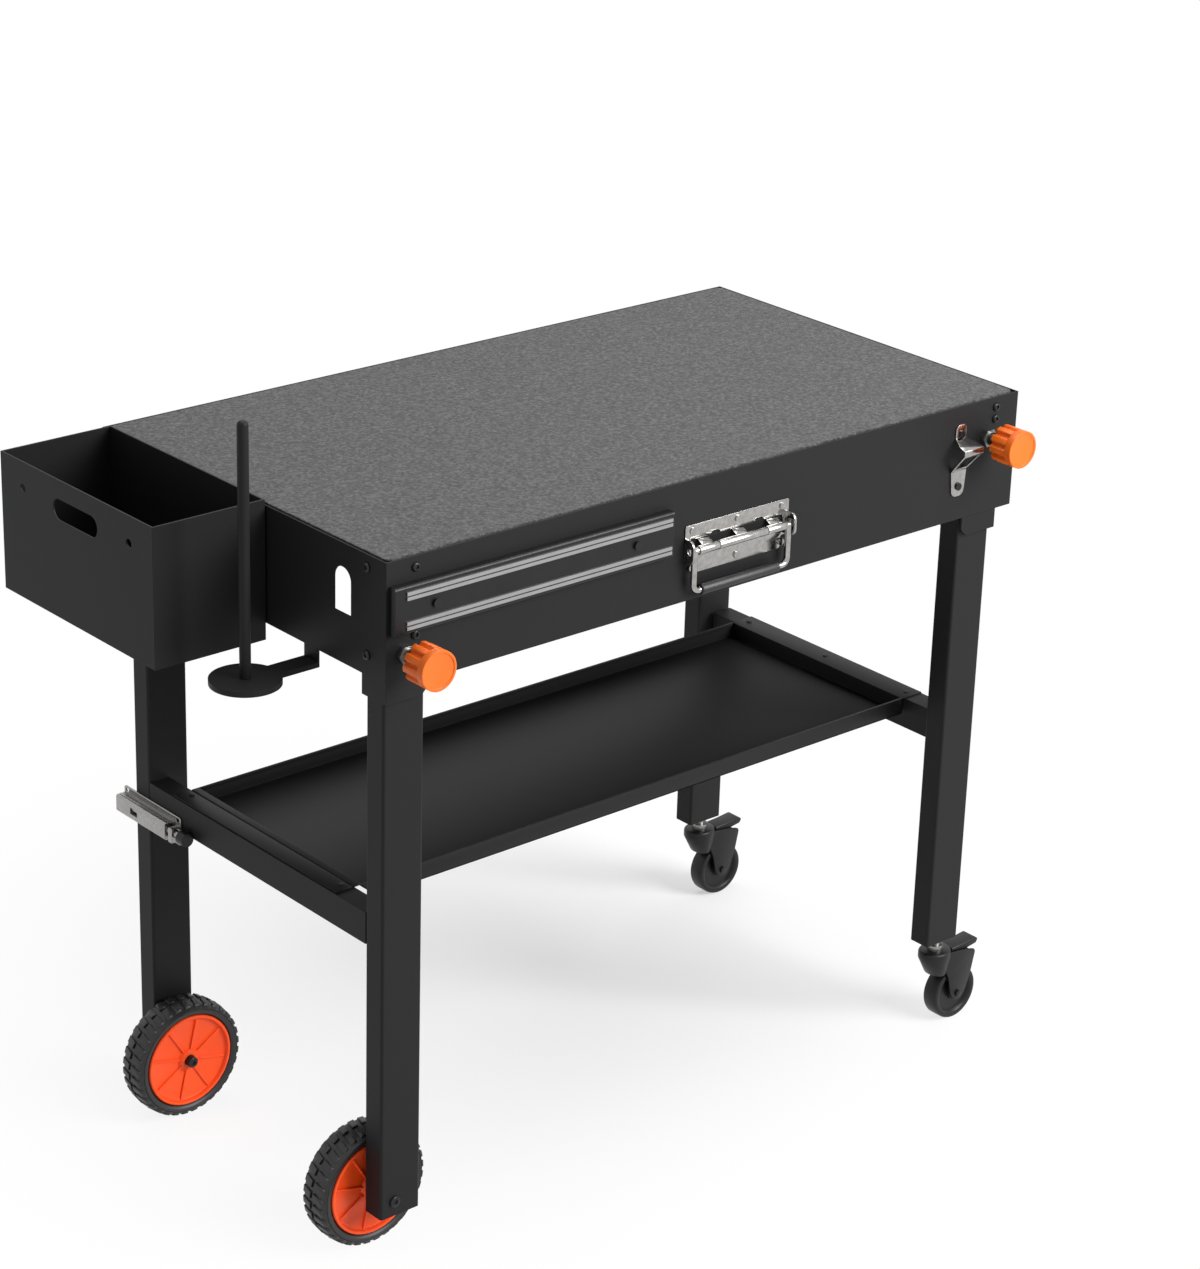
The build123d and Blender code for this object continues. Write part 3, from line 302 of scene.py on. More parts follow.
# Black-oxide steel: near black, a tight dull gloss and slightly uneven tone
black_oxide, tree = new_finish("black_oxide_steel")
place = add_node(tree, "ShaderNodeTexCoord")
cloud = add_node(tree, "ShaderNodeTexNoise", {
    "Vector": (place, "Object"), "Scale": per_metre(OXIDE_MM), "Detail": 2.0})
tone = add_node(tree, "ShaderNodeMix", {
    0: (cloud, "Fac"), 6: linear(OXIDE_BLACK), 7: linear(OXIDE_GREY)}, data_type="RGBA")
gloss = add_node(tree, "ShaderNodeMapRange", {"Value": (cloud, "Fac"), "To Min": 0.26, "To Max": 0.38})
oxide = add_node(tree, "ShaderNodeBsdfPrincipled", {
    "Base Color": (tone, 2), "Roughness": (gloss, "Result"), "Metallic": 0.6})
add_node(tree, "ShaderNodeOutputMaterial", {"Surface": (oxide, 0)})

button_head = start_rod("button_head", (0, 0, 0), (0, -HEAD_HIGH, 0), HEAD_R, 32)
pick(button_head, "EDGE", lambda e: all(v.co.y < -HEAD_HIGH / 2 for v in e.verts))
bpy.ops.mesh.bevel(offset=HEAD_CROWN, segments=4)
leave_edit()
socket_floor = -HEAD_HIGH + SOCKET_DEEP
cut_away(button_head, start_rod("hex_key", (0, socket_floor, 0), (0, -2 * HEAD_HIGH, 0), SOCKET_R, 6))
ease_edges(button_head, HEAD_EDGE, 1)
heads = []
half_turn = Matrix.Rotation(math.pi, 4, "Z")
quarter_turn = Matrix.Rotation(-math.pi / 2, 4, "Z")
for x, z in APRON_SCREWS:
    heads.append(twin(button_head, "front_head", Matrix.Translation(from_corner(x, 0, z))))
    rear_place = Matrix.Translation(from_corner(x, REAR_FACE, z))
    heads.append(twin(button_head, "rear_head", rear_place @ half_turn))
for y in END_SCREW_DEPTHS:
    for z in END_SCREW_HEIGHTS:
        end_place = Matrix.Translation(from_corner(0, y, z))
        heads.append(twin(button_head, "end_head", end_place @ quarter_turn))
bpy.data.objects.remove(button_head)
fit_piece(weld_into("case_socket_screws", heads), black_oxide, "black_bolt", "case", "case_bolts")

# Spring plungers: two zinc threaded sleeves with hex feet stand on the front apron.
# The pull knob on each pin is moulded in bright orange nylon, lobed behind a round face.
KNOB_R = 0.0220
KNOB_FACE = 0.0085
KNOB_DISH = 0.0009
KNOB_RIM = 0.0030
KNOB_OVERLAP = 0.0005
KNOB_EDGE = 0.0011
KNOB_LOBES = 10
LOBE_POINTS = 12
LOBE_EDGE = 0.0008
GROOVE_POINTS = 5
GROOVE_FLOOR = 0.80
GROOVE_FLARE = 0.028
KNOB_SHINE = 0.35
KNOB_ORANGE = "#ea6c12"
KNOB_DEEP = "#e0620d"
NYLON_FLOW_MM = 24.0
NYLON_GRAIN_MM = 0.6
NYLON_EDGE = 0.0006
ZINC_PALE = "#aeadab"
ZINC_GREY = "#7c7b7a"
ZINC_SPANGLE_MM = 2.2
ZINC_SCRATCH_MM = 0.5
ZINC_EDGE = 0.0004

# Zinc-plated steel: pale cold grey, fairly bright, with faint cloudy streaks
zinc_plate, tree = new_finish("zinc_plated_steel")
place = add_node(tree, "ShaderNodeTexCoord")
spangle = add_node(tree, "ShaderNodeTexNoise", {
    "Vector": (place, "Object"), "Scale": per_metre(ZINC_SPANGLE_MM), "Detail": 3.0})
scratch = add_node(tree, "ShaderNodeTexNoise", {
    "Vector": (place, "Object"), "Scale": per_metre(ZINC_SCRATCH_MM), "Detail": 1.0})
tone = add_node(tree, "ShaderNodeMix", {
    0: (spangle, "Fac"), 6: linear(ZINC_GREY), 7: linear(ZINC_PALE)}, data_type="RGBA")
gloss = add_node(tree, "ShaderNodeMapRange", {"Value": (spangle, "Fac"), "To Min": 0.22, "To Max": 0.38})
edges = add_node(tree, "ShaderNodeBevel", {"Radius": ZINC_EDGE}, samples=4)
wear = add_node(tree, "ShaderNodeBump", {
    "Strength": 0.08, "Distance": 0.0002, "Height": (scratch, "Fac"), "Normal": (edges, "Normal")})
zinc = add_node(tree, "ShaderNodeBsdfPrincipled", {
    "Base Color": (tone, 2), "Roughness": (gloss, "Result"), "Metallic": 1.0, "Normal": (wear, "Normal")})
add_node(tree, "ShaderNodeOutputMaterial", {"Surface": (zinc, 0)})
coat_nodes(zinc_plate, "left_plunger_sleeve", "right_plunger_sleeve", "left_plunger_pin",
           "right_plunger_pin")


def mould_nylon(name, pale, deep, shine):
    """Moulded nylon: even colour, satin skin with soft edges and a very fine spark grain."""
    material, tree = new_finish(name)
    place = add_node(tree, "ShaderNodeTexCoord")
    flow = add_node(tree, "ShaderNodeTexNoise", {
        "Vector": (place, "Object"), "Scale": per_metre(NYLON_FLOW_MM), "Detail": 2.0})
    skin = add_node(tree, "ShaderNodeTexNoise", {
        "Vector": (place, "Object"), "Scale": per_metre(NYLON_GRAIN_MM), "Detail": 1.0})
    tone = add_node(tree, "ShaderNodeMix", {
        0: (flow, "Fac"), 6: linear(deep), 7: linear(pale)}, data_type="RGBA")
    gloss = add_node(tree, "ShaderNodeMapRange", {"Value": (flow, "Fac"), "To Min": 0.32, "To Max": 0.44})
    edges = add_node(tree, "ShaderNodeBevel", {"Radius": NYLON_EDGE}, samples=4)
    spark = add_node(tree, "ShaderNodeBump", {
        "Strength": 0.08, "Distance": 0.0002, "Height": (skin, "Fac"), "Normal": (edges, "Normal")})
    nylon = add_node(tree, "ShaderNodeBsdfPrincipled", {
        "Base Color": (tone, 2), "Roughness": (gloss, "Result"), "Normal": (spark, "Normal"),
        "Specular IOR Level": shine})
    add_node(tree, "ShaderNodeOutputMaterial", {"Surface": (nylon, 0)})
    return material


# Moulded orange nylon: a clear warm orange with a soft satin highlight on its lobes
knob_nylon = mould_nylon("moulded_orange_nylon", KNOB_ORANGE, KNOB_DEEP, KNOB_SHINE)

for side in ("left", "right"):
    knob_low, knob_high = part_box(side + "_knob")
    axis = (knob_low + knob_high) / 2
    bpy.ops.object.select_all(action="DESELECT")
    bpy.ops.mesh.primitive_circle_add(vertices=KNOB_LOBES * LOBE_POINTS, radius=KNOB_R, fill_type="NGON",
                                      location=(axis.x, knob_high.y, axis.z), rotation=(math.pi / 2, 0, 0))
    grip = settle(side + "_knob_grip")
    groove = {}
    for n in range(KNOB_LOBES * LOBE_POINTS):
        step = n % LOBE_POINTS
        if step < GROOVE_POINTS:
            groove[n] = GROOVE_FLOOR + GROOVE_FLARE * abs(step - GROOVE_POINTS // 2) ** 1.5
    for depth in sorted(set(groove.values())):
        pick(grip, "VERT", lambda v: groove.get(v.index) == depth)
        bpy.ops.transform.resize(value=(depth, 1, depth), center_override=(axis.x, knob_high.y, axis.z))
        leave_edit()
    pick(grip, "FACE", lambda f: True)
    bpy.ops.mesh.extrude_region_move(
        TRANSFORM_OT_translate={"value": (0, knob_low.y + KNOB_FACE - knob_high.y, 0)})
    bpy.ops.mesh.select_all(action="SELECT")
    bpy.ops.mesh.normals_make_consistent(inside=False)
    leave_edit()
    ease_edges(grip, LOBE_EDGE, 2)
    face = start_rod(side + "_knob_face", (axis.x, knob_low.y + KNOB_FACE + KNOB_OVERLAP, axis.z),
                     (axis.x, knob_low.y, axis.z), KNOB_R, 96)
    pick(face, "FACE", lambda f: f.normal.y < -0.9)
    bpy.ops.mesh.inset(thickness=KNOB_RIM)
    bpy.ops.mesh.extrude_region_move(TRANSFORM_OT_translate={"value": (0, KNOB_DISH, 0)})
    leave_edit()
    ease_edges(face, KNOB_EDGE, 3)
    fit_piece(weld_into(side + "_pull_knob", [grip, face]), knob_nylon, "orange_plastic",
              side + "_plunger", side + "_knob")

# Legs: rectangular steel tubes on pivots inside the brackets, joined on the left by a rail.
# They carry the same powder coat; black nylon plugs close their feet.
NYLON_BLACK = "#0f0f10"
NYLON_GREY = "#161617"
NYLON_SHINE = 0.28
coat_nodes(powder_coat, "left_front_leg", "left_rear_leg", "right_front_leg", "right_rear_leg", "left_rail")
coat_nodes(black_oxide, "left_pivot_pins", "right_pivot_rod", "pivot_washers")

# Moulded black nylon: deep black with a dull satin skin
black_nylon = mould_nylon("moulded_black_nylon", NYLON_GREY, NYLON_BLACK, NYLON_SHINE)
coat_nodes(black_nylon, "left_leg_plugs", "right_leg_fittings")

# Road wheels: a rubber tyre with a blocky tread on a dished orange nylon rim with ribs.
# Each turns on a black axle bolt through the foot of a left leg.
TYRE_R = 0.0720
TREAD_R = TYRE_R - 0.0028
BEAD_R = 0.0562
BLOCKS = 33
BLOCK_LONG = 0.0080
BLOCK_WIDE = 0.0150
BLOCK_SKEW = 0.0034
BLOCK_TOP = TYRE_R - 0.0005
BLOCK_ROOT = TREAD_R - 0.0040
BLOCK_SIDE = 0.0030
BLOCK_SHOULDER = (0, 0.0010, -0.0016)
BLOCK_EDGE = 0.0005
AXLE_HEAD_R = 0.0065
AXLE_SOCKET_R = 0.0030
AXLE_SOCKET_DEEP = 0.0015
AXLE_KEY_PAST = 0.0100
AXLE_CROWN = 0.0012
AXLE_EDGE = 0.0001
RUBBER_BLACK = "#0c0c0d"
RUBBER_GREY = "#161617"
RUBBER_GRAIN_MM = 1.2
for side, outward in (("front", -1), ("rear", 1)):
    axle_low, axle_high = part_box(side + "_wheel_axle")
    axis = (axle_low + axle_high) / 2
    head_y, cap_y = (axle_low.y, axle_high.y) if outward < 0 else (axle_high.y, axle_low.y)
    bolt = start_rod(side + "_axle_bolt", (axis.x, head_y, axis.z), (axis.x, cap_y, axis.z),
                     AXLE_HEAD_R, 40)
    pick(bolt, "EDGE", lambda e: not runs_along(e, 1))
    bpy.ops.mesh.bevel(offset=AXLE_CROWN, segments=3)
    leave_edit()
    for y, inward in ((head_y, -outward), (cap_y, outward)):
        cut_away(bolt, start_rod("axle_key", (axis.x, y + inward * AXLE_SOCKET_DEEP, axis.z),
                                 (axis.x, y - inward * AXLE_KEY_PAST, axis.z), AXLE_SOCKET_R, 6))
    ease_edges(bolt, AXLE_EDGE, 1)
    fit_piece(bolt, black_oxide, "black_bolt", "left_frame", side + "_wheel_axle")

# Vulcanised rubber: matt black, dry highlight, faint bloom from the mould
tyre_rubber, tree = new_finish("moulded_tyre_rubber")
place = add_node(tree, "ShaderNodeTexCoord")
bloom = add_node(tree, "ShaderNodeTexNoise", {
    "Vector": (place, "Object"), "Scale": per_metre(RUBBER_GRAIN_MM), "Detail": 4.0})
tone = add_node(tree, "ShaderNodeMix", {
    0: (bloom, "Fac"), 6: linear(RUBBER_BLACK), 7: linear(RUBBER_GREY)}, data_type="RGBA")
gloss = add_node(tree, "ShaderNodeMapRange", {"Value": (bloom, "Fac"), "To Min": 0.38, "To Max": 0.56})
skin = add_node(tree, "ShaderNodeBump", {"Strength": 0.12, "Distance": 0.0004, "Height": (bloom, "Fac")})
rubber = add_node(tree, "ShaderNodeBsdfPrincipled", {
    "Base Color": (tone, 2), "Roughness": (gloss, "Result"), "Normal": (skin, "Normal"), "IOR": 1.52})
add_node(tree, "ShaderNodeOutputMaterial", {"Surface": (rubber, 0)})


def turn_profile(name, centre, outline, steps=128):
    """Spins a closed outline of (radius, y) points, in metres, round an axis along y."""
    bpy.ops.object.select_all(action="DESELECT")
    bpy.ops.mesh.primitive_circle_add(vertices=len(outline), radius=0.01, fill_type="NOTHING")
    piece = settle(name)
    for vertex, (radius, y) in zip(piece.data.vertices, outline):
        vertex.co = centre + Vector((radius, y, 0))
    pick(piece, "EDGE", lambda e: True)
    bpy.ops.mesh.spin(steps=steps, angle=2 * math.pi, center=centre, axis=(0, 1, 0))
    bpy.ops.mesh.select_all(action="SELECT")
    bpy.ops.mesh.remove_doubles(threshold=0.00002)
    bpy.ops.mesh.normals_make_consistent(inside=False)
    leave_edit()
    return piece


def around(centre, angle):
    """Matrix that turns about an axis along y through a point."""
    return Matrix.Translation(centre) @ Matrix.Rotation(angle, 4, "Y") @ Matrix.Translation(-centre)


# Sidewall from bead to tread: radius, and how far it lies below the tyre's face
SIDEWALL = [
    (BEAD_R, 0.0040), (BEAD_R + 0.0025, 0.0012), (BEAD_R + 0.0050, 0.0), (BEAD_R + 0.0075, 0.0),
    (BEAD_R + 0.0080, 0.0006), (BEAD_R + 0.0085, 0.0), (TREAD_R - 0.0045, 0.0012),
    (TREAD_R - 0.0015, 0.0040), (TREAD_R, 0.0080)]
for side in ("front", "rear"):
    tyre_low, tyre_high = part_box(side + "_wheel_tyre")
    hub = (tyre_low + tyre_high) / 2
    half_wide = (tyre_high.y - tyre_low.y) / 2
    outline = [(radius, sunk - half_wide) for radius, sunk in SIDEWALL]
    outline += [(radius, half_wide - sunk) for radius, sunk in SIDEWALL[::-1]]
    carcass = turn_profile(side + "_tyre_carcass", hub, outline)
    smooth_faces(carcass, 50)
    outer = BLOCK_SIDE - half_wide
    block_middle = hub.y + outer + BLOCK_WIDE / 2
    block = start_box(side + "_tread_block", hub + Vector((-BLOCK_LONG / 2, outer, BLOCK_ROOT)),
                      hub + Vector((BLOCK_LONG / 2, outer + BLOCK_WIDE, BLOCK_TOP)))
    pick(block, "VERT", lambda v: v.co.z > hub.z + TREAD_R and v.co.y < block_middle)
    bpy.ops.transform.translate(value=BLOCK_SHOULDER)
    leave_edit()
    pick(block, "VERT", lambda v: v.co.y > block_middle)
    bpy.ops.transform.translate(value=(BLOCK_SKEW, 0, 0))
    leave_edit()
    ease_edges(block, BLOCK_EDGE, 1)
    mirror = Matrix.Translation(hub) @ Matrix.Rotation(math.pi, 4, "Z") @ Matrix.Translation(-hub)
    other = twin(block, side + "_tread_block", mirror)
    blocks = [carcass]
    for n in range(BLOCKS):
        blocks.append(twin(block, side + "_block", around(hub, 2 * math.pi * n / BLOCKS)))
        blocks.append(twin(other, side + "_block", around(hub, 2 * math.pi * (n + 0.5) / BLOCKS)))
    bpy.data.objects.remove(block)
    bpy.data.objects.remove(other)
    fit_piece(weld_into(side + "_treaded_tyre", blocks), tyre_rubber, "tyre_rubber",
              side + "_wheel", side + "_wheel_tyre")

# Rims: one moulding each, dished on both faces, with thin ribs from hub to lip
RIM_ORANGE = "#fc5416"
RIM_DEEP = "#f24a10"
RIM_RIBS = 8
RIM_LIP = 0.0040
RIM_DISH = 0.0055
RIM_ROUND = 0.0010
FILLET_LONG = 0.0040
FILLET_HIGH = 0.0015
RIB_HIGH = 0.0022
RIB_HALF = 0.0010
RIB_EDGE = 0.0005
RIB_START = 0.3
HUB_R = 0.0120
HUB_INSET = 0.0015
HUB_FOOT = 0.0020
BORE_R = 0.0068
RIM_SHINE = 0.35

# Moulded red-orange nylon: saturated and even, satin, brightest on the lip
rim_nylon = mould_nylon("moulded_red_orange_nylon", RIM_ORANGE, RIM_DEEP, RIM_SHINE)
for side in ("front", "rear"):
    rim_low, rim_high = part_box(side + "_wheel_rim")
    hub = (rim_low + rim_high) / 2
    rim_r = (rim_high.x - rim_low.x) / 2
    half_wide = (rim_high.y - rim_low.y) / 2
    face = half_wide - RIM_DISH
    lip_r = rim_r - RIM_LIP
    hub_face = half_wide - HUB_INSET
    one_side = [
        (BORE_R, hub_face), (HUB_R - RIM_ROUND, hub_face), (HUB_R, hub_face - RIM_ROUND),
        (HUB_R + HUB_FOOT, face), (lip_r - FILLET_LONG, face), (lip_r - RIM_ROUND, face + FILLET_HIGH),
        (lip_r, half_wide - RIM_ROUND), (lip_r + RIM_ROUND, half_wide),
        (rim_r - RIM_ROUND, half_wide), (rim_r, half_wide - RIM_ROUND)]
    outline = [(radius, -y) for radius, y in one_side] + one_side[::-1]
    dish = turn_profile(side + "_rim_dish", hub, outline, 96)
    smooth_faces(dish, 35)
    rib = start_box(side + "_rim_rib", hub + Vector((-RIB_HALF, -face - RIB_HIGH, HUB_R)),
                    hub + Vector((RIB_HALF, face + RIB_HIGH, lip_r)))
    ease_edges(rib, RIB_EDGE, 2)
    ribs = [dish]
    for n in range(RIM_RIBS):
        ribs.append(twin(rib, side + "_rib", around(hub, 2 * math.pi * (n + RIB_START) / RIM_RIBS)))
    bpy.data.objects.remove(rib)
    fit_piece(weld_into(side + "_ribbed_rim", ribs), rim_nylon, "orange_plastic",
              side + "_wheel", side + "_wheel_rim")

# Casters: black nylon forks on zinc stems under the right legs, with a brake pedal each.
# The wheels are moulded in the same black nylon, with a sunk web inside a rounded tread.
CASTER_LANES = {"front": 21.5, "rear": 450.5}
STEM_X = 866.0
CROWN_R = 0.0190
CROWN_STRETCH = 1.12
CROWN_TOP = 101.0
CROWN_FOOT = 91.0
CROWN_EDGE = 0.0030
SKIRT_FOOT = 68.0
SKIRT_TAPER = 0.52
SKIRT_NARROW = 0.80
SKIRT_AHEAD = 6.0
SKIRT_EDGE = 0.0006
AXLE_X = 897.0
AXLE_Z = 35.0
WHEEL_CLEAR = 0.0364
CHEEK_IN = 11.3
CHEEK_OUT = 14.6
CHEEK_CORNER = 0.0045
CHEEK_EDGE = 0.0009
ROOF_BACK = STEM_X + 4.0
ROOF_END = 919.0
ROOF_FOOT = 80.0
ROOF_TOP = 88.0
ROOF_HALF = CHEEK_IN + 1.0
ROOF_EDGE = 0.0010
CHEEK = [
    (864, 97), (868, 84), (880, 60), (885, 36), (891, 27), (903, 26), (911, 37), (919, 60), (925, 88),
    (905, 93)]
PEDAL_HALF = 10.8
PEDAL_EDGE = 0.0016
PEDAL = [(885.6, 93.2), (910, 90.4), (929, 93), (932, 98.5), (927, 102), (906, 99.8), (885.6, 98.8)]
ROLLER = [
    (0.0036, 0.0100), (0.0090, 0.0108), (0.0100, 0.0100), (0.0105, 0.0066), (0.0250, 0.0066),
    (0.0268, 0.0098), (0.0280, 0.0106), (0.0322, 0.0108), (0.0340, 0.0100), (0.0350, 0.0078)]
AXLE_NUT_R = 0.0046
AXLE_NUT_HIGH = 2.6
AXLE_NUT_EDGE = 0.0006


def cut_plate(name, outline, y0, y1):
    """Cuts a plate to an outline of (x, z) points, in millimetres, between two depths."""
    bpy.ops.object.select_all(action="DESELECT")
    bpy.ops.mesh.primitive_circle_add(vertices=len(outline), radius=0.01, fill_type="NGON")
    plate = settle(name)
    for vertex, (x, z) in zip(plate.data.vertices, outline):
        vertex.co = from_corner(x, y0, z)
    pick(plate, "FACE", lambda f: True)
    bpy.ops.mesh.extrude_region_move(TRANSFORM_OT_translate={"value": (0, (y1 - y0) / 1000, 0)})
    bpy.ops.mesh.select_all(action="SELECT")
    bpy.ops.mesh.normals_make_consistent(inside=False)
    leave_edit()
    return plate


crown_middle = from_corner(0, 0, (CROWN_FOOT + CROWN_TOP) / 2).z
for side, lane in CASTER_LANES.items():
    coat_nodes(zinc_plate, side + "_caster_stem", side + "_caster_axle")
    crown = start_rod(side + "_crown", from_corner(STEM_X, lane, CROWN_FOOT),
                      from_corner(STEM_X, lane, CROWN_TOP), CROWN_R, 48)
    pick(crown, "VERT", lambda v: True)
    bpy.ops.transform.resize(value=(CROWN_STRETCH, 1, 1),
                             center_override=from_corner(STEM_X, lane, CROWN_TOP))
    leave_edit()
    pick(crown, "EDGE", lambda e: all(v.co.z > crown_middle for v in e.verts))
    bpy.ops.mesh.bevel(offset=CROWN_EDGE, segments=2)
    leave_edit()
    pick(crown, "FACE", lambda f: f.normal.z < -0.9)
    bpy.ops.mesh.extrude_region_move(
        TRANSFORM_OT_translate={"value": (0, 0, (SKIRT_FOOT - CROWN_FOOT) / 1000)})
    bpy.ops.transform.resize(value=(SKIRT_TAPER, SKIRT_NARROW, 1),
                             center_override=from_corner(STEM_X + SKIRT_AHEAD, lane, SKIRT_FOOT))
    leave_edit()
    cut_away(crown, start_rod("wheel_room", from_corner(AXLE_X, lane - CHEEK_IN, AXLE_Z),
                              from_corner(AXLE_X, lane + CHEEK_IN, AXLE_Z), WHEEL_CLEAR, 96))
    ease_edges(crown, SKIRT_EDGE, 2)
    fork = [crown]
    for y0, y1 in ((lane - CHEEK_OUT, lane - CHEEK_IN), (lane + CHEEK_IN, lane + CHEEK_OUT)):
        cheek = cut_plate(side + "_cheek", CHEEK, y0, y1)
        pick(cheek, "EDGE", lambda e: runs_along(e, 1))
        bpy.ops.mesh.bevel(offset=CHEEK_CORNER, segments=4)
        leave_edit()
        ease_edges(cheek, CHEEK_EDGE, 2)
        fork.append(cheek)
    roof = start_box(side + "_roof", from_corner(ROOF_BACK, lane - ROOF_HALF, ROOF_FOOT),
                     from_corner(ROOF_END, lane + ROOF_HALF, ROOF_TOP))
    ease_edges(roof, ROOF_EDGE, 2)
    fork.append(roof)
    fit_piece(weld_into(side + "_moulded_fork", fork), black_nylon, "black_plastic",
              side + "_caster", side + "_caster_fork")
    nuts = []
    for y0, y1 in ((lane - CHEEK_OUT - AXLE_NUT_HIGH, lane - CHEEK_OUT),
                   (lane + CHEEK_OUT, lane + CHEEK_OUT + AXLE_NUT_HIGH)):
        nut = start_rod(side + "_nut", from_corner(AXLE_X, y0, AXLE_Z), from_corner(AXLE_X, y1, AXLE_Z),
                        AXLE_NUT_R, 6)
        ease_edges(nut, AXLE_NUT_EDGE, 2)
        nuts.append(nut)
    fit_piece(weld_into(side + "_caster_nuts", nuts), black_oxide, "black_bolt", side + "_caster")
    pedal = cut_plate(side + "_wedge_pedal", PEDAL, lane - PEDAL_HALF, lane + PEDAL_HALF)
    ease_edges(pedal, PEDAL_EDGE, 3)
    fit_piece(pedal, black_nylon, "black_plastic", side + "_brake", side + "_caster_brake_pedal")
    outline = [(radius, -y) for radius, y in ROLLER] + ROLLER[::-1]
    roller = turn_profile(side + "_caster_tread", from_corner(AXLE_X, lane, AXLE_Z), outline, 96)
    smooth_faces(roller, 35)
    fit_piece(roller, black_nylon, "black_plastic", side + "_caster_roller", side + "_caster_wheel")

# Shelf: a steel tray with a sunk floor that hangs on the left rail and its own end bar.
# It is pressed from one sheet and powder coated like the case.
coat_nodes(powder_coat, "shelf_end_bar")
TRAY_SHEET = 1.5
TRAY_LEFT = 4.0
TRAY_RIGHT = 883.0
TRAY_FRONT = 89.0
TRAY_REAR = 390.0
TRAY_TOP = 415.8
TRAY_LEDGE = TRAY_TOP - TRAY_SHEET
TRAY_FLOOR = 397.3
TRAY_UNDER = TRAY_FLOOR - TRAY_SHEET
TRAY_SOFT = 0.0003
SLOPE_TOP = 37.0
SLOPE_FOOT = 58.0
SLOPE_INSET = 0.7
WALL_X = 851.0
GROOVE_MID = 27.2
GROOVE_MOUTH = 1.0
GROOVE_BED = 0.6
GROOVE_Z = TRAY_TOP - 1.2
HEM_TOP = 415.7
HEM_FOOT = 411.5
HEM_LEFT = 40.0
HEM_RAKE = 4.0
HEM_RIGHT = 849.0
TRAY_SCREWS = ((20, 100), (20, 378), (868, 100), (868, 240), (868, 378))
TRAY_SCREW_R = 0.0034
TRAY_SCREW_FOOT = 415.6
TRAY_SCREW_TOP = 416.8
TRAY_SCREW_EDGE = 0.0005
TRAY_SECTION = [
    (TRAY_LEFT, TRAY_TOP), (GROOVE_MID - GROOVE_MOUTH, TRAY_TOP), (GROOVE_MID - GROOVE_BED, GROOVE_Z),
    (GROOVE_MID + GROOVE_BED, GROOVE_Z), (GROOVE_MID + GROOVE_MOUTH, TRAY_TOP), (SLOPE_TOP, TRAY_TOP),
    (SLOPE_FOOT, TRAY_FLOOR), (WALL_X - TRAY_SHEET, TRAY_FLOOR), (WALL_X - TRAY_SHEET, TRAY_TOP),
    (TRAY_RIGHT, TRAY_TOP), (TRAY_RIGHT, TRAY_LEDGE), (WALL_X, TRAY_LEDGE), (WALL_X, TRAY_UNDER),
    (SLOPE_FOOT - SLOPE_INSET, TRAY_UNDER), (SLOPE_TOP - SLOPE_INSET, TRAY_LEDGE),
    (TRAY_LEFT, TRAY_LEDGE)]
TRAY_EDGE = [
    (SLOPE_TOP - SLOPE_INSET, TRAY_LEDGE), (SLOPE_TOP, TRAY_TOP), (WALL_X, TRAY_TOP),
    (WALL_X, TRAY_UNDER), (SLOPE_FOOT - SLOPE_INSET, TRAY_UNDER)]
TRAY_HEM = [
    (HEM_LEFT, HEM_TOP), (HEM_RIGHT, HEM_TOP), (HEM_RIGHT, HEM_FOOT), (HEM_LEFT + HEM_RAKE, HEM_FOOT)]
shelf_sheets = [cut_plate("tray_section", TRAY_SECTION, TRAY_FRONT, TRAY_REAR)]
for y in (TRAY_FRONT, TRAY_REAR - TRAY_SHEET):
    shelf_sheets.append(cut_plate("tray_edge", TRAY_EDGE, y, y + TRAY_SHEET))
for y in (TRAY_FRONT + TRAY_SHEET, TRAY_REAR - 2 * TRAY_SHEET):
    shelf_sheets.append(cut_plate("tray_hem", TRAY_HEM, y, y + TRAY_SHEET))
for sheet in shelf_sheets:
    ease_edges(sheet, TRAY_SOFT, 2)
for x, y in TRAY_SCREWS:
    screw = start_rod("tray_screw", from_corner(x, y, TRAY_SCREW_FOOT), from_corner(x, y, TRAY_SCREW_TOP),
                      TRAY_SCREW_R, 24)
    ease_edges(screw, TRAY_SCREW_EDGE, 2)
    shelf_sheets.append(screw)
fit_piece(weld_into("pressed_shelf_tray", shelf_sheets), powder_coat, "black_steel", "shelf", "shelf_tray")

# Barrel latch: a zinc channel on the rear left leg holds a sliding bolt with a black knob.
# Its pressed plate has a screw hole near each end; the bolt runs in a bore and a guide.
coat_nodes(zinc_plate, "latch_bolt")
coat_nodes(black_nylon, "latch_knob")
BOLT_X = -5.0
BOLT_Z = 377.0
BOLT_ROOM = 0.0042
BORE_FRONT = 360.0
BORE_REAR = 490.0
LATCH_FACE = 1.0
LATCH_BACK = 3.0
LATCH_FRONT = 373.0
LATCH_REAR = 485.0
LATCH_FOOT = 360.0
LATCH_TOP = 394.0
LATCH_CORNER = 0.0030
LATCH_EDGE = 0.0003
LATCH_HOLES = (379, 479)
LATCH_HOLE_Z = 389.5
LATCH_HOLE_R = 0.0026
LATCH_HOLE_PAST = 3.0
CHANNEL_FACE = -11.0
CHANNEL_FRONT = 387.0
CHANNEL_REAR = 484.0
CHANNEL_FOOT = 365.0
CHANNEL_TOP = 386.0
CHANNEL_ROUND = 0.0028
CHANNEL_EDGE = 0.0004
SLOT_OUT = -14.0
SLOT_FRONT = 442.0
SLOT_REAR = 456.0
SLOT_FOOT = 372.0
SLOT_TOP = 380.0
PRESS_LINES = (-7.4, -2.6)
PRESS_HALF = 0.7
PRESS_FRONT = 380.0
PRESS_FLOOR = 384.6
PRESS_PAST = 388.0
GUIDE_BACK = 1.5
GUIDE_FRONT = 373.5
GUIDE_REAR = 381.0
GUIDE_FOOT = 366.0
GUIDE_TOP = 384.0
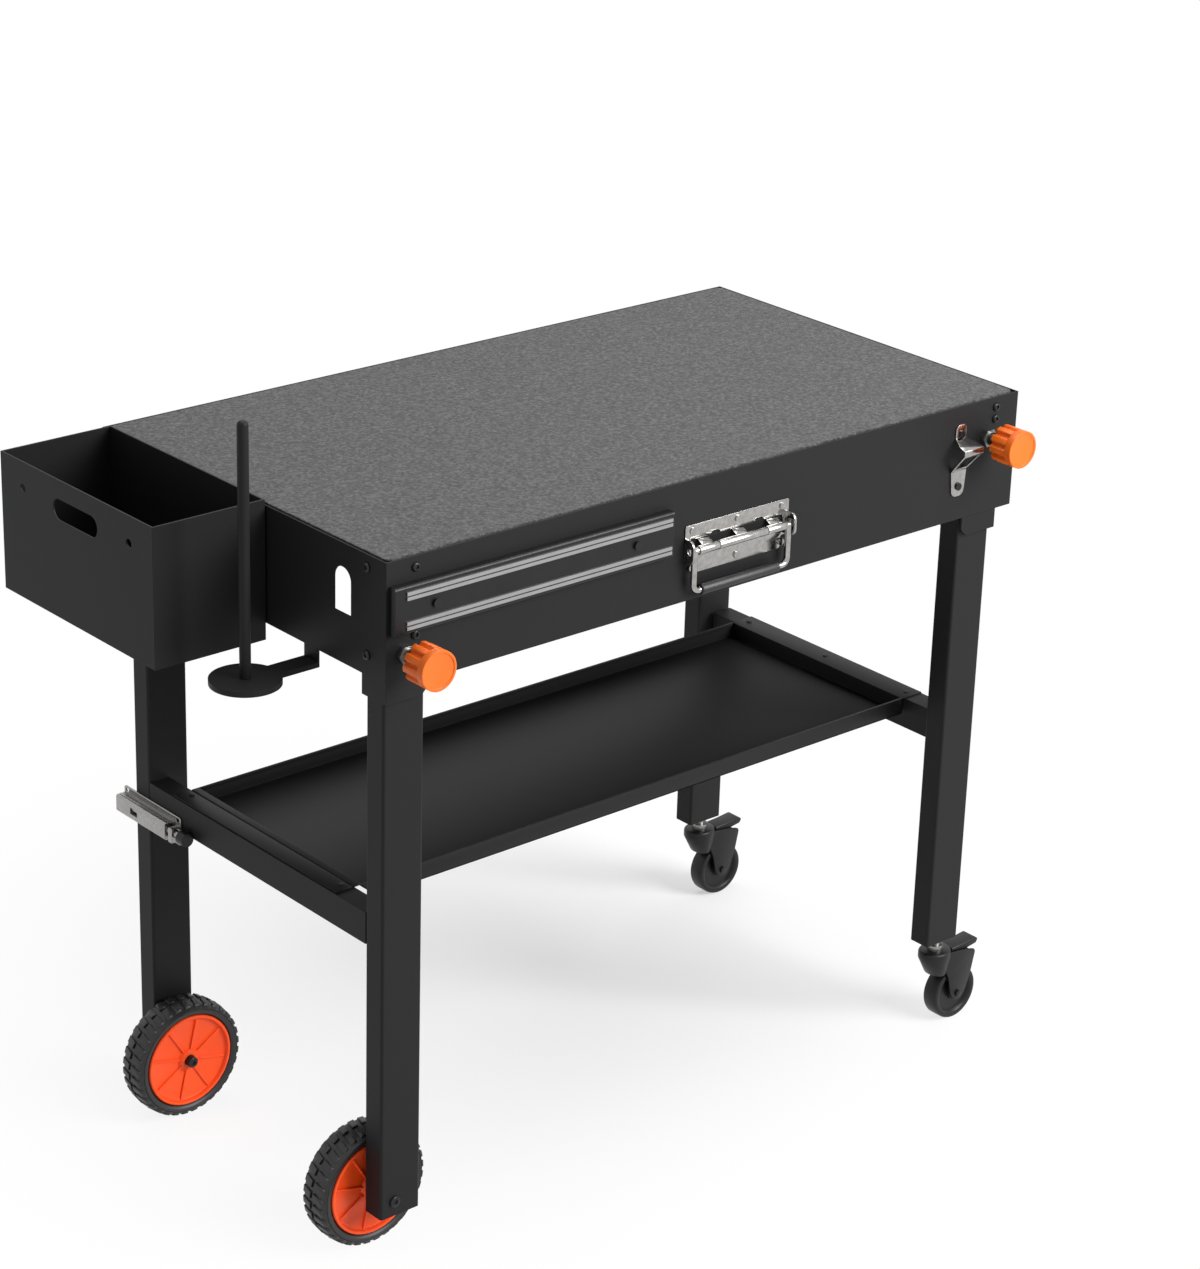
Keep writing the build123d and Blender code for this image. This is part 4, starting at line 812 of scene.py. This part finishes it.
GUIDE_BORE_REAR = 400.0
GUIDE_EDGE = 0.0012
latch_plate = start_box("latch_plate", from_corner(LATCH_FACE, LATCH_FRONT, LATCH_FOOT),
                        from_corner(LATCH_BACK, LATCH_REAR, LATCH_TOP))
pick(latch_plate, "EDGE", lambda e: runs_along(e, 0))
bpy.ops.mesh.bevel(offset=LATCH_CORNER, segments=4)
leave_edit()
for y in LATCH_HOLES:
    cut_away(latch_plate, start_rod("screw_hole", from_corner(LATCH_FACE - LATCH_HOLE_PAST, y, LATCH_HOLE_Z),
                                    from_corner(LATCH_BACK + LATCH_HOLE_PAST, y, LATCH_HOLE_Z),
                                    LATCH_HOLE_R, 24))
ease_edges(latch_plate, LATCH_EDGE, 2)
channel = start_box("latch_channel", from_corner(CHANNEL_FACE, CHANNEL_FRONT, CHANNEL_FOOT),
                    from_corner(LATCH_FACE, CHANNEL_REAR, CHANNEL_TOP))
channel_middle = from_corner((CHANNEL_FACE + LATCH_FACE) / 2, 0, 0).x
pick(channel, "EDGE", lambda e: runs_along(e, 1) and e.verts[0].co.x < channel_middle)
bpy.ops.mesh.bevel(offset=CHANNEL_ROUND, segments=4)
leave_edit()
cut_away(channel, start_rod("bolt_bore", from_corner(BOLT_X, BORE_FRONT, BOLT_Z),
                            from_corner(BOLT_X, BORE_REAR, BOLT_Z), BOLT_ROOM, 32))
cut_away(channel, start_box("grip_slot", from_corner(SLOT_OUT, SLOT_FRONT, SLOT_FOOT),
                            from_corner(BOLT_X, SLOT_REAR, SLOT_TOP)))
for x in PRESS_LINES:
    cut_away(channel, start_box("press_groove", from_corner(x - PRESS_HALF, PRESS_FRONT, PRESS_FLOOR),
                                from_corner(x + PRESS_HALF, BORE_REAR, PRESS_PAST)))
ease_edges(channel, CHANNEL_EDGE, 2)
guide = start_box("latch_guide", from_corner(CHANNEL_FACE, GUIDE_FRONT, GUIDE_FOOT),
                  from_corner(GUIDE_BACK, GUIDE_REAR, GUIDE_TOP))
cut_away(guide, start_rod("guide_bore", from_corner(BOLT_X, BORE_FRONT, BOLT_Z),
                          from_corner(BOLT_X, GUIDE_BORE_REAR, BOLT_Z), BOLT_ROOM, 32))
ease_edges(guide, GUIDE_EDGE, 3)
fit_piece(weld_into("pressed_latch", [latch_plate, channel, guide]), zinc_plate, "zinc",
          "left_frame", "latch_body")

# Magnetic tool rail: a black plastic bar with two pairs of bright steel strips.
# Two black screws hold it to the front apron.
STEEL_BRIGHT = "#b9b9ba"
STEEL_GREY = "#8d8d8f"
STEEL_BRUSH_MM = 0.4
STEEL_BRUSH_LONG_MM = 30.0
coat_nodes(black_nylon, "tool_rail")
coat_nodes(black_oxide, "tool_rail_screws")

# Brushed steel strip: pale grey with fine lines along its length
brushed_steel, tree = new_finish("brushed_steel_strip")
place = add_node(tree, "ShaderNodeTexCoord")
stretch = add_node(tree, "ShaderNodeMapping", {
    "Vector": (place, "Object"),
    "Scale": (per_metre(STEEL_BRUSH_LONG_MM), per_metre(STEEL_BRUSH_MM), per_metre(STEEL_BRUSH_MM))})
lines = add_node(tree, "ShaderNodeTexNoise", {"Vector": (stretch, 0), "Scale": 1.0, "Detail": 2.0})
tone = add_node(tree, "ShaderNodeMix", {
    0: (lines, "Fac"), 6: linear(STEEL_GREY), 7: linear(STEEL_BRIGHT)}, data_type="RGBA")
gloss = add_node(tree, "ShaderNodeMapRange", {"Value": (lines, "Fac"), "To Min": 0.28, "To Max": 0.42})
steel = add_node(tree, "ShaderNodeBsdfPrincipled", {
    "Base Color": (tone, 2), "Roughness": (gloss, "Result"), "Metallic": 1.0})
add_node(tree, "ShaderNodeOutputMaterial", {"Surface": (steel, 0)})
coat_nodes(brushed_steel, "tool_rail_strips")

# Drop handle: a pressed steel plate riveted to the front apron, with a wire bail.
# Plate and bail are polished and nickel plated; a black rubber tube covers the bail's grip.
NICKEL_PALE = "#c2c0bd"
NICKEL_GREY = "#8b8987"
NICKEL_CLOUD_MM = 6.0
NICKEL_FINE_MM = 0.6
NICKEL_EDGE = 0.0004
HANDLE_LEFT = 400.0
HANDLE_RIGHT = 552.0
HANDLE_FOOT = 709.0
HANDLE_TOP = 765.0
HANDLE_SHEET = 1.6
HANDLE_CORNER = 0.0030
HANDLE_EDGE = 0.0003
CUT_NEAR = -5.0
CUT_FAR = 5.0
STEP_PAST = 1.0
STEP_WIDE = 11.0
STEP_FOOT = 700.0
STEP_TOP = 724.0
WINDOW_LEFT = 409.0
WINDOW_RIGHT = 543.0
WINDOW_FOOT = 729.0
WINDOW_TOP = 748.0
TAB_NOTCHES = (444, 508)
TAB_HALF = 6.0
TAB_FOOT = 747.0
TAB_TOP = 752.0
BAIL_Y = -9.6
BAIL_Z = 738.0
PIN_ROOM = 0.0037
PIN_PAST = 2.0
EAR_THICK = 2.8
EAR_OUT = -15.3
EAR_FOOT = 723.0
EAR_TOP = 751.0
EAR_ROUND = 0.0090
HINGE_EDGE = 0.0004
HINGE_ROLLS = ((412, 440), (441, 511), (512, 540))
ROLL_R = 0.0050
TONGUE_HALF = 8.0
TONGUE_BACK = -1.4
TONGUE_FOOT = 741.4
TONGUE_TOP = 742.8
TONGUE_RISE = 0.0045
TONGUE_EDGE = 0.0003
GRIP_LEFT = 417.0
GRIP_RIGHT = 531.0
GRIP_Z = 692.0
GRIP_R = 0.0060
GRIP_EDGE = 0.0016
GRIP_BORE_R = 0.0036
GRIP_BORE_LEFT = 410.0
GRIP_BORE_RIGHT = 540.0

# Bright nickel plate: mirror-like, faintly warm, with a slight haze and ripple
bright_nickel, tree = new_finish("polished_nickel_plate")
place = add_node(tree, "ShaderNodeTexCoord")
haze = add_node(tree, "ShaderNodeTexNoise", {
    "Vector": (place, "Object"), "Scale": per_metre(NICKEL_CLOUD_MM), "Detail": 3.0})
fine = add_node(tree, "ShaderNodeTexNoise", {
    "Vector": (place, "Object"), "Scale": per_metre(NICKEL_FINE_MM), "Detail": 1.0})
tone = add_node(tree, "ShaderNodeMix", {
    0: (haze, "Fac"), 6: linear(NICKEL_GREY), 7: linear(NICKEL_PALE)}, data_type="RGBA")
gloss = add_node(tree, "ShaderNodeMapRange", {"Value": (haze, "Fac"), "To Min": 0.10, "To Max": 0.22})
edges = add_node(tree, "ShaderNodeBevel", {"Radius": NICKEL_EDGE}, samples=4)
ripple = add_node(tree, "ShaderNodeBump", {
    "Strength": 0.05, "Distance": 0.0002, "Height": (fine, "Fac"), "Normal": (edges, "Normal")})
nickel = add_node(tree, "ShaderNodeBsdfPrincipled", {
    "Base Color": (tone, 2), "Roughness": (gloss, "Result"), "Metallic": 1.0, "Normal": (ripple, "Normal")})
add_node(tree, "ShaderNodeOutputMaterial", {"Surface": (nickel, 0)})
coat_nodes(bright_nickel, "handle_rivets", "handle_bail")
back = start_box("handle_back", from_corner(HANDLE_LEFT, -HANDLE_SHEET, HANDLE_FOOT),
                 from_corner(HANDLE_RIGHT, 0, HANDLE_TOP))
for x0, x1 in ((HANDLE_LEFT - STEP_PAST, HANDLE_LEFT + STEP_WIDE),
               (HANDLE_RIGHT - STEP_WIDE, HANDLE_RIGHT + STEP_PAST)):
    cut_away(back, start_box("corner_cut", from_corner(x0, CUT_NEAR, STEP_FOOT),
                             from_corner(x1, CUT_FAR, STEP_TOP)))
cut_away(back, start_box("hinge_window", from_corner(WINDOW_LEFT, CUT_NEAR, WINDOW_FOOT),
                         from_corner(WINDOW_RIGHT, CUT_FAR, WINDOW_TOP)))
for x in TAB_NOTCHES:
    cut_away(back, start_box("tab_notch", from_corner(x - TAB_HALF, CUT_NEAR, TAB_FOOT),
                             from_corner(x + TAB_HALF, CUT_FAR, TAB_TOP)))
pick(back, "EDGE", lambda e: runs_along(e, 1))
bpy.ops.mesh.bevel(offset=HANDLE_CORNER, segments=4)
leave_edit()
ease_edges(back, HANDLE_EDGE, 2)
shells = [back]
ear_middle = from_corner(0, EAR_OUT / 2, 0).y
for x0, x1 in ((HANDLE_LEFT, HANDLE_LEFT + EAR_THICK), (HANDLE_RIGHT - EAR_THICK, HANDLE_RIGHT)):
    ear = start_box("handle_ear", from_corner(x0, EAR_OUT, EAR_FOOT), from_corner(x1, 0, EAR_TOP))
    pick(ear, "EDGE", lambda e: runs_along(e, 0) and e.verts[0].co.y < ear_middle)
    bpy.ops.mesh.bevel(offset=EAR_ROUND, segments=6)
    leave_edit()
    cut_away(ear, start_rod("ear_hole", from_corner(x0 - PIN_PAST, BAIL_Y, BAIL_Z),
                            from_corner(x1 + PIN_PAST, BAIL_Y, BAIL_Z), PIN_ROOM, 32))
    ease_edges(ear, HINGE_EDGE, 2)
    shells.append(ear)
tongue_middle = from_corner(0, (BAIL_Y + TONGUE_BACK) / 2, 0).y
for x0, x1 in HINGE_ROLLS:
    roll = start_rod("hinge_roll", from_corner(x0, BAIL_Y, BAIL_Z), from_corner(x1, BAIL_Y, BAIL_Z),
                     ROLL_R, 40)
    cut_away(roll, start_rod("roll_bore", from_corner(x0 - PIN_PAST, BAIL_Y, BAIL_Z),
                             from_corner(x1 + PIN_PAST, BAIL_Y, BAIL_Z), PIN_ROOM, 32))
    ease_edges(roll, HINGE_EDGE, 2)
    middle = (x0 + x1) / 2
    tongue = start_box("hinge_tongue", from_corner(middle - TONGUE_HALF, BAIL_Y, TONGUE_FOOT),
                       from_corner(middle + TONGUE_HALF, TONGUE_BACK, TONGUE_TOP))
    pick(tongue, "VERT", lambda v: v.co.y > tongue_middle)
    bpy.ops.transform.translate(value=(0, 0, TONGUE_RISE))
    leave_edit()
    ease_edges(tongue, TONGUE_EDGE, 2)
    shells += [roll, tongue]
fit_piece(weld_into("pressed_handle_plate", shells), bright_nickel, "chrome", "case", "handle_plate")
grip = start_rod("bail_grip", from_corner(GRIP_LEFT, BAIL_Y, GRIP_Z),
                 from_corner(GRIP_RIGHT, BAIL_Y, GRIP_Z), GRIP_R, 40)
ease_edges(grip, GRIP_EDGE, 3)
cut_away(grip, start_rod("grip_bore", from_corner(GRIP_BORE_LEFT, BAIL_Y, GRIP_Z),
                         from_corner(GRIP_BORE_RIGHT, BAIL_Y, GRIP_Z), GRIP_BORE_R, 32))
fit_piece(grip, tyre_rubber, "black_plastic", "bail")

# Bottle opener: a strip of nickel-plated steel bent out from the apron over a lip.
# Two screws through its round tabs hold it.
coat_nodes(black_oxide, "opener_screws")
OPENER_X = 821.0
OPENER_TAB = 0.0170
OPENER_TAB_Z = 786.5
OPENER_SHEET = 0.0020
OPENER_ROUND = 0.0070
OPENER_ROUND_ABOVE = 0.794
OPENER_ROUND_BELOW = 0.709
OPENER_EDGE = 0.0004
LIP_FRAME = 0.0042
LIP_LOW = 0.741
LIP_HIGH = 0.762
# Rows of the bent strip: depth and height from the corner, and half its width, in millimetres
OPENER_ROWS = [
    (-1, 778, 8.5), (-14, 773, 15.0), (-23, 770.5, 15.5), (-23, 765, 15.5), (-10, 750, 14.0),
    (-1, 739, 12.5), (-1, 708, 9.5)]
bpy.ops.object.select_all(action="DESELECT")
bpy.ops.mesh.primitive_plane_add(size=OPENER_TAB, location=from_corner(OPENER_X, -1, OPENER_TAB_Z),
                                 rotation=(math.pi / 2, 0, 0))
strip = settle("opener_strip")
pick(strip, "EDGE", lambda e: all(v.co.z < OPENER_TAB_Z / 1000 for v in e.verts))
for (last_y, last_z, last_half), (y, z, half_wide) in zip(OPENER_ROWS, OPENER_ROWS[1:]):
    bpy.ops.mesh.extrude_region_move(
        TRANSFORM_OT_translate={"value": (0, (y - last_y) / 1000, (z - last_z) / 1000)})
    bpy.ops.transform.resize(value=(half_wide / last_half, 1, 1),
                             center_override=from_corner(OPENER_X, y, z))
leave_edit()
pick(strip, "FACE", lambda f: LIP_LOW < f.calc_center_median().z < LIP_HIGH)
bpy.ops.mesh.inset(thickness=LIP_FRAME)
bpy.ops.mesh.delete(type="FACE")
leave_edit()
pick(strip, "VERT", lambda v: v.co.z > OPENER_ROUND_ABOVE or v.co.z < OPENER_ROUND_BELOW)
bpy.ops.mesh.bevel(offset=OPENER_ROUND, segments=6, affect="VERTICES")
bpy.ops.mesh.select_all(action="SELECT")
bpy.ops.mesh.normals_make_consistent(inside=False)
leave_edit()
use_modifier(strip, "SOLIDIFY", thickness=OPENER_SHEET, offset=0.0)
ease_edges(strip, OPENER_EDGE, 2)
fit_piece(strip, bright_nickel, "chrome", "case", "opener_plate")

# Caddy: a folded steel tray that hooks into slots of the left end plate.
# It is coated with the case's powder and lifts off with its hooks.
coat_nodes(powder_coat, "caddy_tray", "caddy_hooks")

# Roll holder: a coated steel arm under the left end plate with an upright spindle.
# The arm is bent from strip, and its strap lies against the inside of the plate.
coat_nodes(powder_coat, "roll_arm", "roll_spindle")

# Floor, light and camera: a pale floor in a white studio, seen from the photograph's place.
# The camera was fitted to the case's corners, the legs and the wheels.
FLOOR_WHITE = "#f7f7f7"
FLOOR_SIZE = 14.0
SHADOW_REACH = 0.95
SHADOW_SHIFT = -0.2
STUDIO_LIGHT = 0.20
CAMERA_X = apron_low.x - 1.93503
CAMERA_Y = apron_low.y - 2.51673
CAMERA_Z = 2.05917
CAMERA_YAW = 41.4076
CAMERA_PITCH = -22.4999
CAMERA_ROLL = 1.7892
FOCAL_PX = 3442.943
FRAME_HIGH_PX = 1269
SENSOR = 36.0
lens_data = bpy.data.cameras.new("studio_camera")
lens_data.sensor_fit = "VERTICAL"
lens_data.sensor_height = SENSOR
lens_data.lens = FOCAL_PX / FRAME_HIGH_PX * SENSOR
lens_data.clip_end = 50.0
camera = bpy.data.objects.new("studio_camera", lens_data)
bpy.context.collection.objects.link(camera)
turn = Matrix.Rotation(math.radians(-CAMERA_YAW), 4, "Z")
tilt = Matrix.Rotation(math.radians(90 + CAMERA_PITCH), 4, "X")
bank = Matrix.Rotation(math.radians(CAMERA_ROLL), 4, "Z")
camera.matrix_world = Matrix.Translation((CAMERA_X, CAMERA_Y, CAMERA_Z)) @ turn @ tilt @ bank
bpy.context.scene.camera = camera

bpy.ops.object.select_all(action="DESELECT")
bpy.ops.mesh.primitive_plane_add(size=FLOOR_SIZE, location=(0, 0, 0))
floor = bpy.context.object
floor.name = "studio_floor"

# White studio floor: pure white far off, and near the table a matt white that takes its shadow
floor_paint, tree = new_finish("white_studio_floor")
rays = add_node(tree, "ShaderNodeLightPath")
mirrored = add_node(tree, "ShaderNodeMath", {
    0: (rays, "Is Camera Ray"), 1: (rays, "Is Glossy Ray")}, operation="MAXIMUM")
direct = add_node(tree, "ShaderNodeMath", {
    0: (mirrored, 0), 1: (rays, "Is Transmission Ray")}, operation="MAXIMUM")
place = add_node(tree, "ShaderNodeTexCoord")
nearer = add_node(tree, "ShaderNodeMapping", {
    "Vector": (place, "Object"),
    "Location": (SHADOW_SHIFT / SHADOW_REACH, SHADOW_SHIFT / SHADOW_REACH, 0.0),
    "Scale": (1 / SHADOW_REACH, 1 / SHADOW_REACH, 1.0)})
ring = add_node(tree, "ShaderNodeTexGradient", {"Vector": (nearer, 0)}, gradient_type="QUADRATIC_SPHERE")
wash = add_node(tree, "ShaderNodeMapRange", {"Value": (ring, "Fac"), "To Min": 1.0, "To Max": 0.0})
seen = add_node(tree, "ShaderNodeMath", {0: (direct, 0), 1: (wash, "Result")}, operation="MULTIPLY")
matt = add_node(tree, "ShaderNodeBsdfDiffuse", {"Color": linear(FLOOR_WHITE)})
glow = add_node(tree, "ShaderNodeEmission", {"Color": (1, 1, 1, 1), "Strength": 1.0})
blend = add_node(tree, "ShaderNodeMixShader", {0: (seen, 0), 1: (matt, 0), 2: (glow, 0)})
add_node(tree, "ShaderNodeOutputMaterial", {"Surface": (blend, 0)})
floor.data.materials.append(floor_paint)


def soft_lamp(name, place, aim, size, power):
    """Large square studio lamp at a place, turned to a point."""
    data = bpy.data.lights.new(name, "AREA")
    data.size = size
    data.energy = power
    lamp = bpy.data.objects.new(name, data)
    bpy.context.collection.objects.link(lamp)
    lamp.location = place
    lamp.rotation_euler = (Vector(aim) - Vector(place)).to_track_quat("-Z", "Y").to_euler()


soft_lamp("key_softbox", place=(1.6, -3.0, 2.4), aim=(0, 0, 0.5), size=2.2, power=200)
soft_lamp("top_softbox", place=(0.2, 0.3, 3.4), aim=(0, 0, 0.6), size=2.6, power=64)
soft_lamp("left_fill", place=(-3.4, -0.6, 1.8), aim=(0, 0, 0.5), size=2.0, power=2)

world = bpy.data.worlds.new("white_studio")
bpy.context.scene.world = world
world.use_nodes = True
world.node_tree.nodes.clear()
tree = world.node_tree
rays = add_node(tree, "ShaderNodeLightPath")
mirrored = add_node(tree, "ShaderNodeMath", {
    0: (rays, "Is Camera Ray"), 1: (rays, "Is Glossy Ray")}, operation="MAXIMUM")
direct = add_node(tree, "ShaderNodeMath", {
    0: (mirrored, 0), 1: (rays, "Is Transmission Ray")}, operation="MAXIMUM")
lit = add_node(tree, "ShaderNodeBackground", {"Color": (1, 1, 1, 1), "Strength": STUDIO_LIGHT})
white = add_node(tree, "ShaderNodeBackground", {"Color": (1, 1, 1, 1), "Strength": 1.0})
mixed = add_node(tree, "ShaderNodeMixShader", {0: (direct, 0), 1: (lit, 0), 2: (white, 0)})
add_node(tree, "ShaderNodeOutputWorld", {"Surface": (mixed, 0)})

bpy.context.scene.view_settings.view_transform = "Standard"
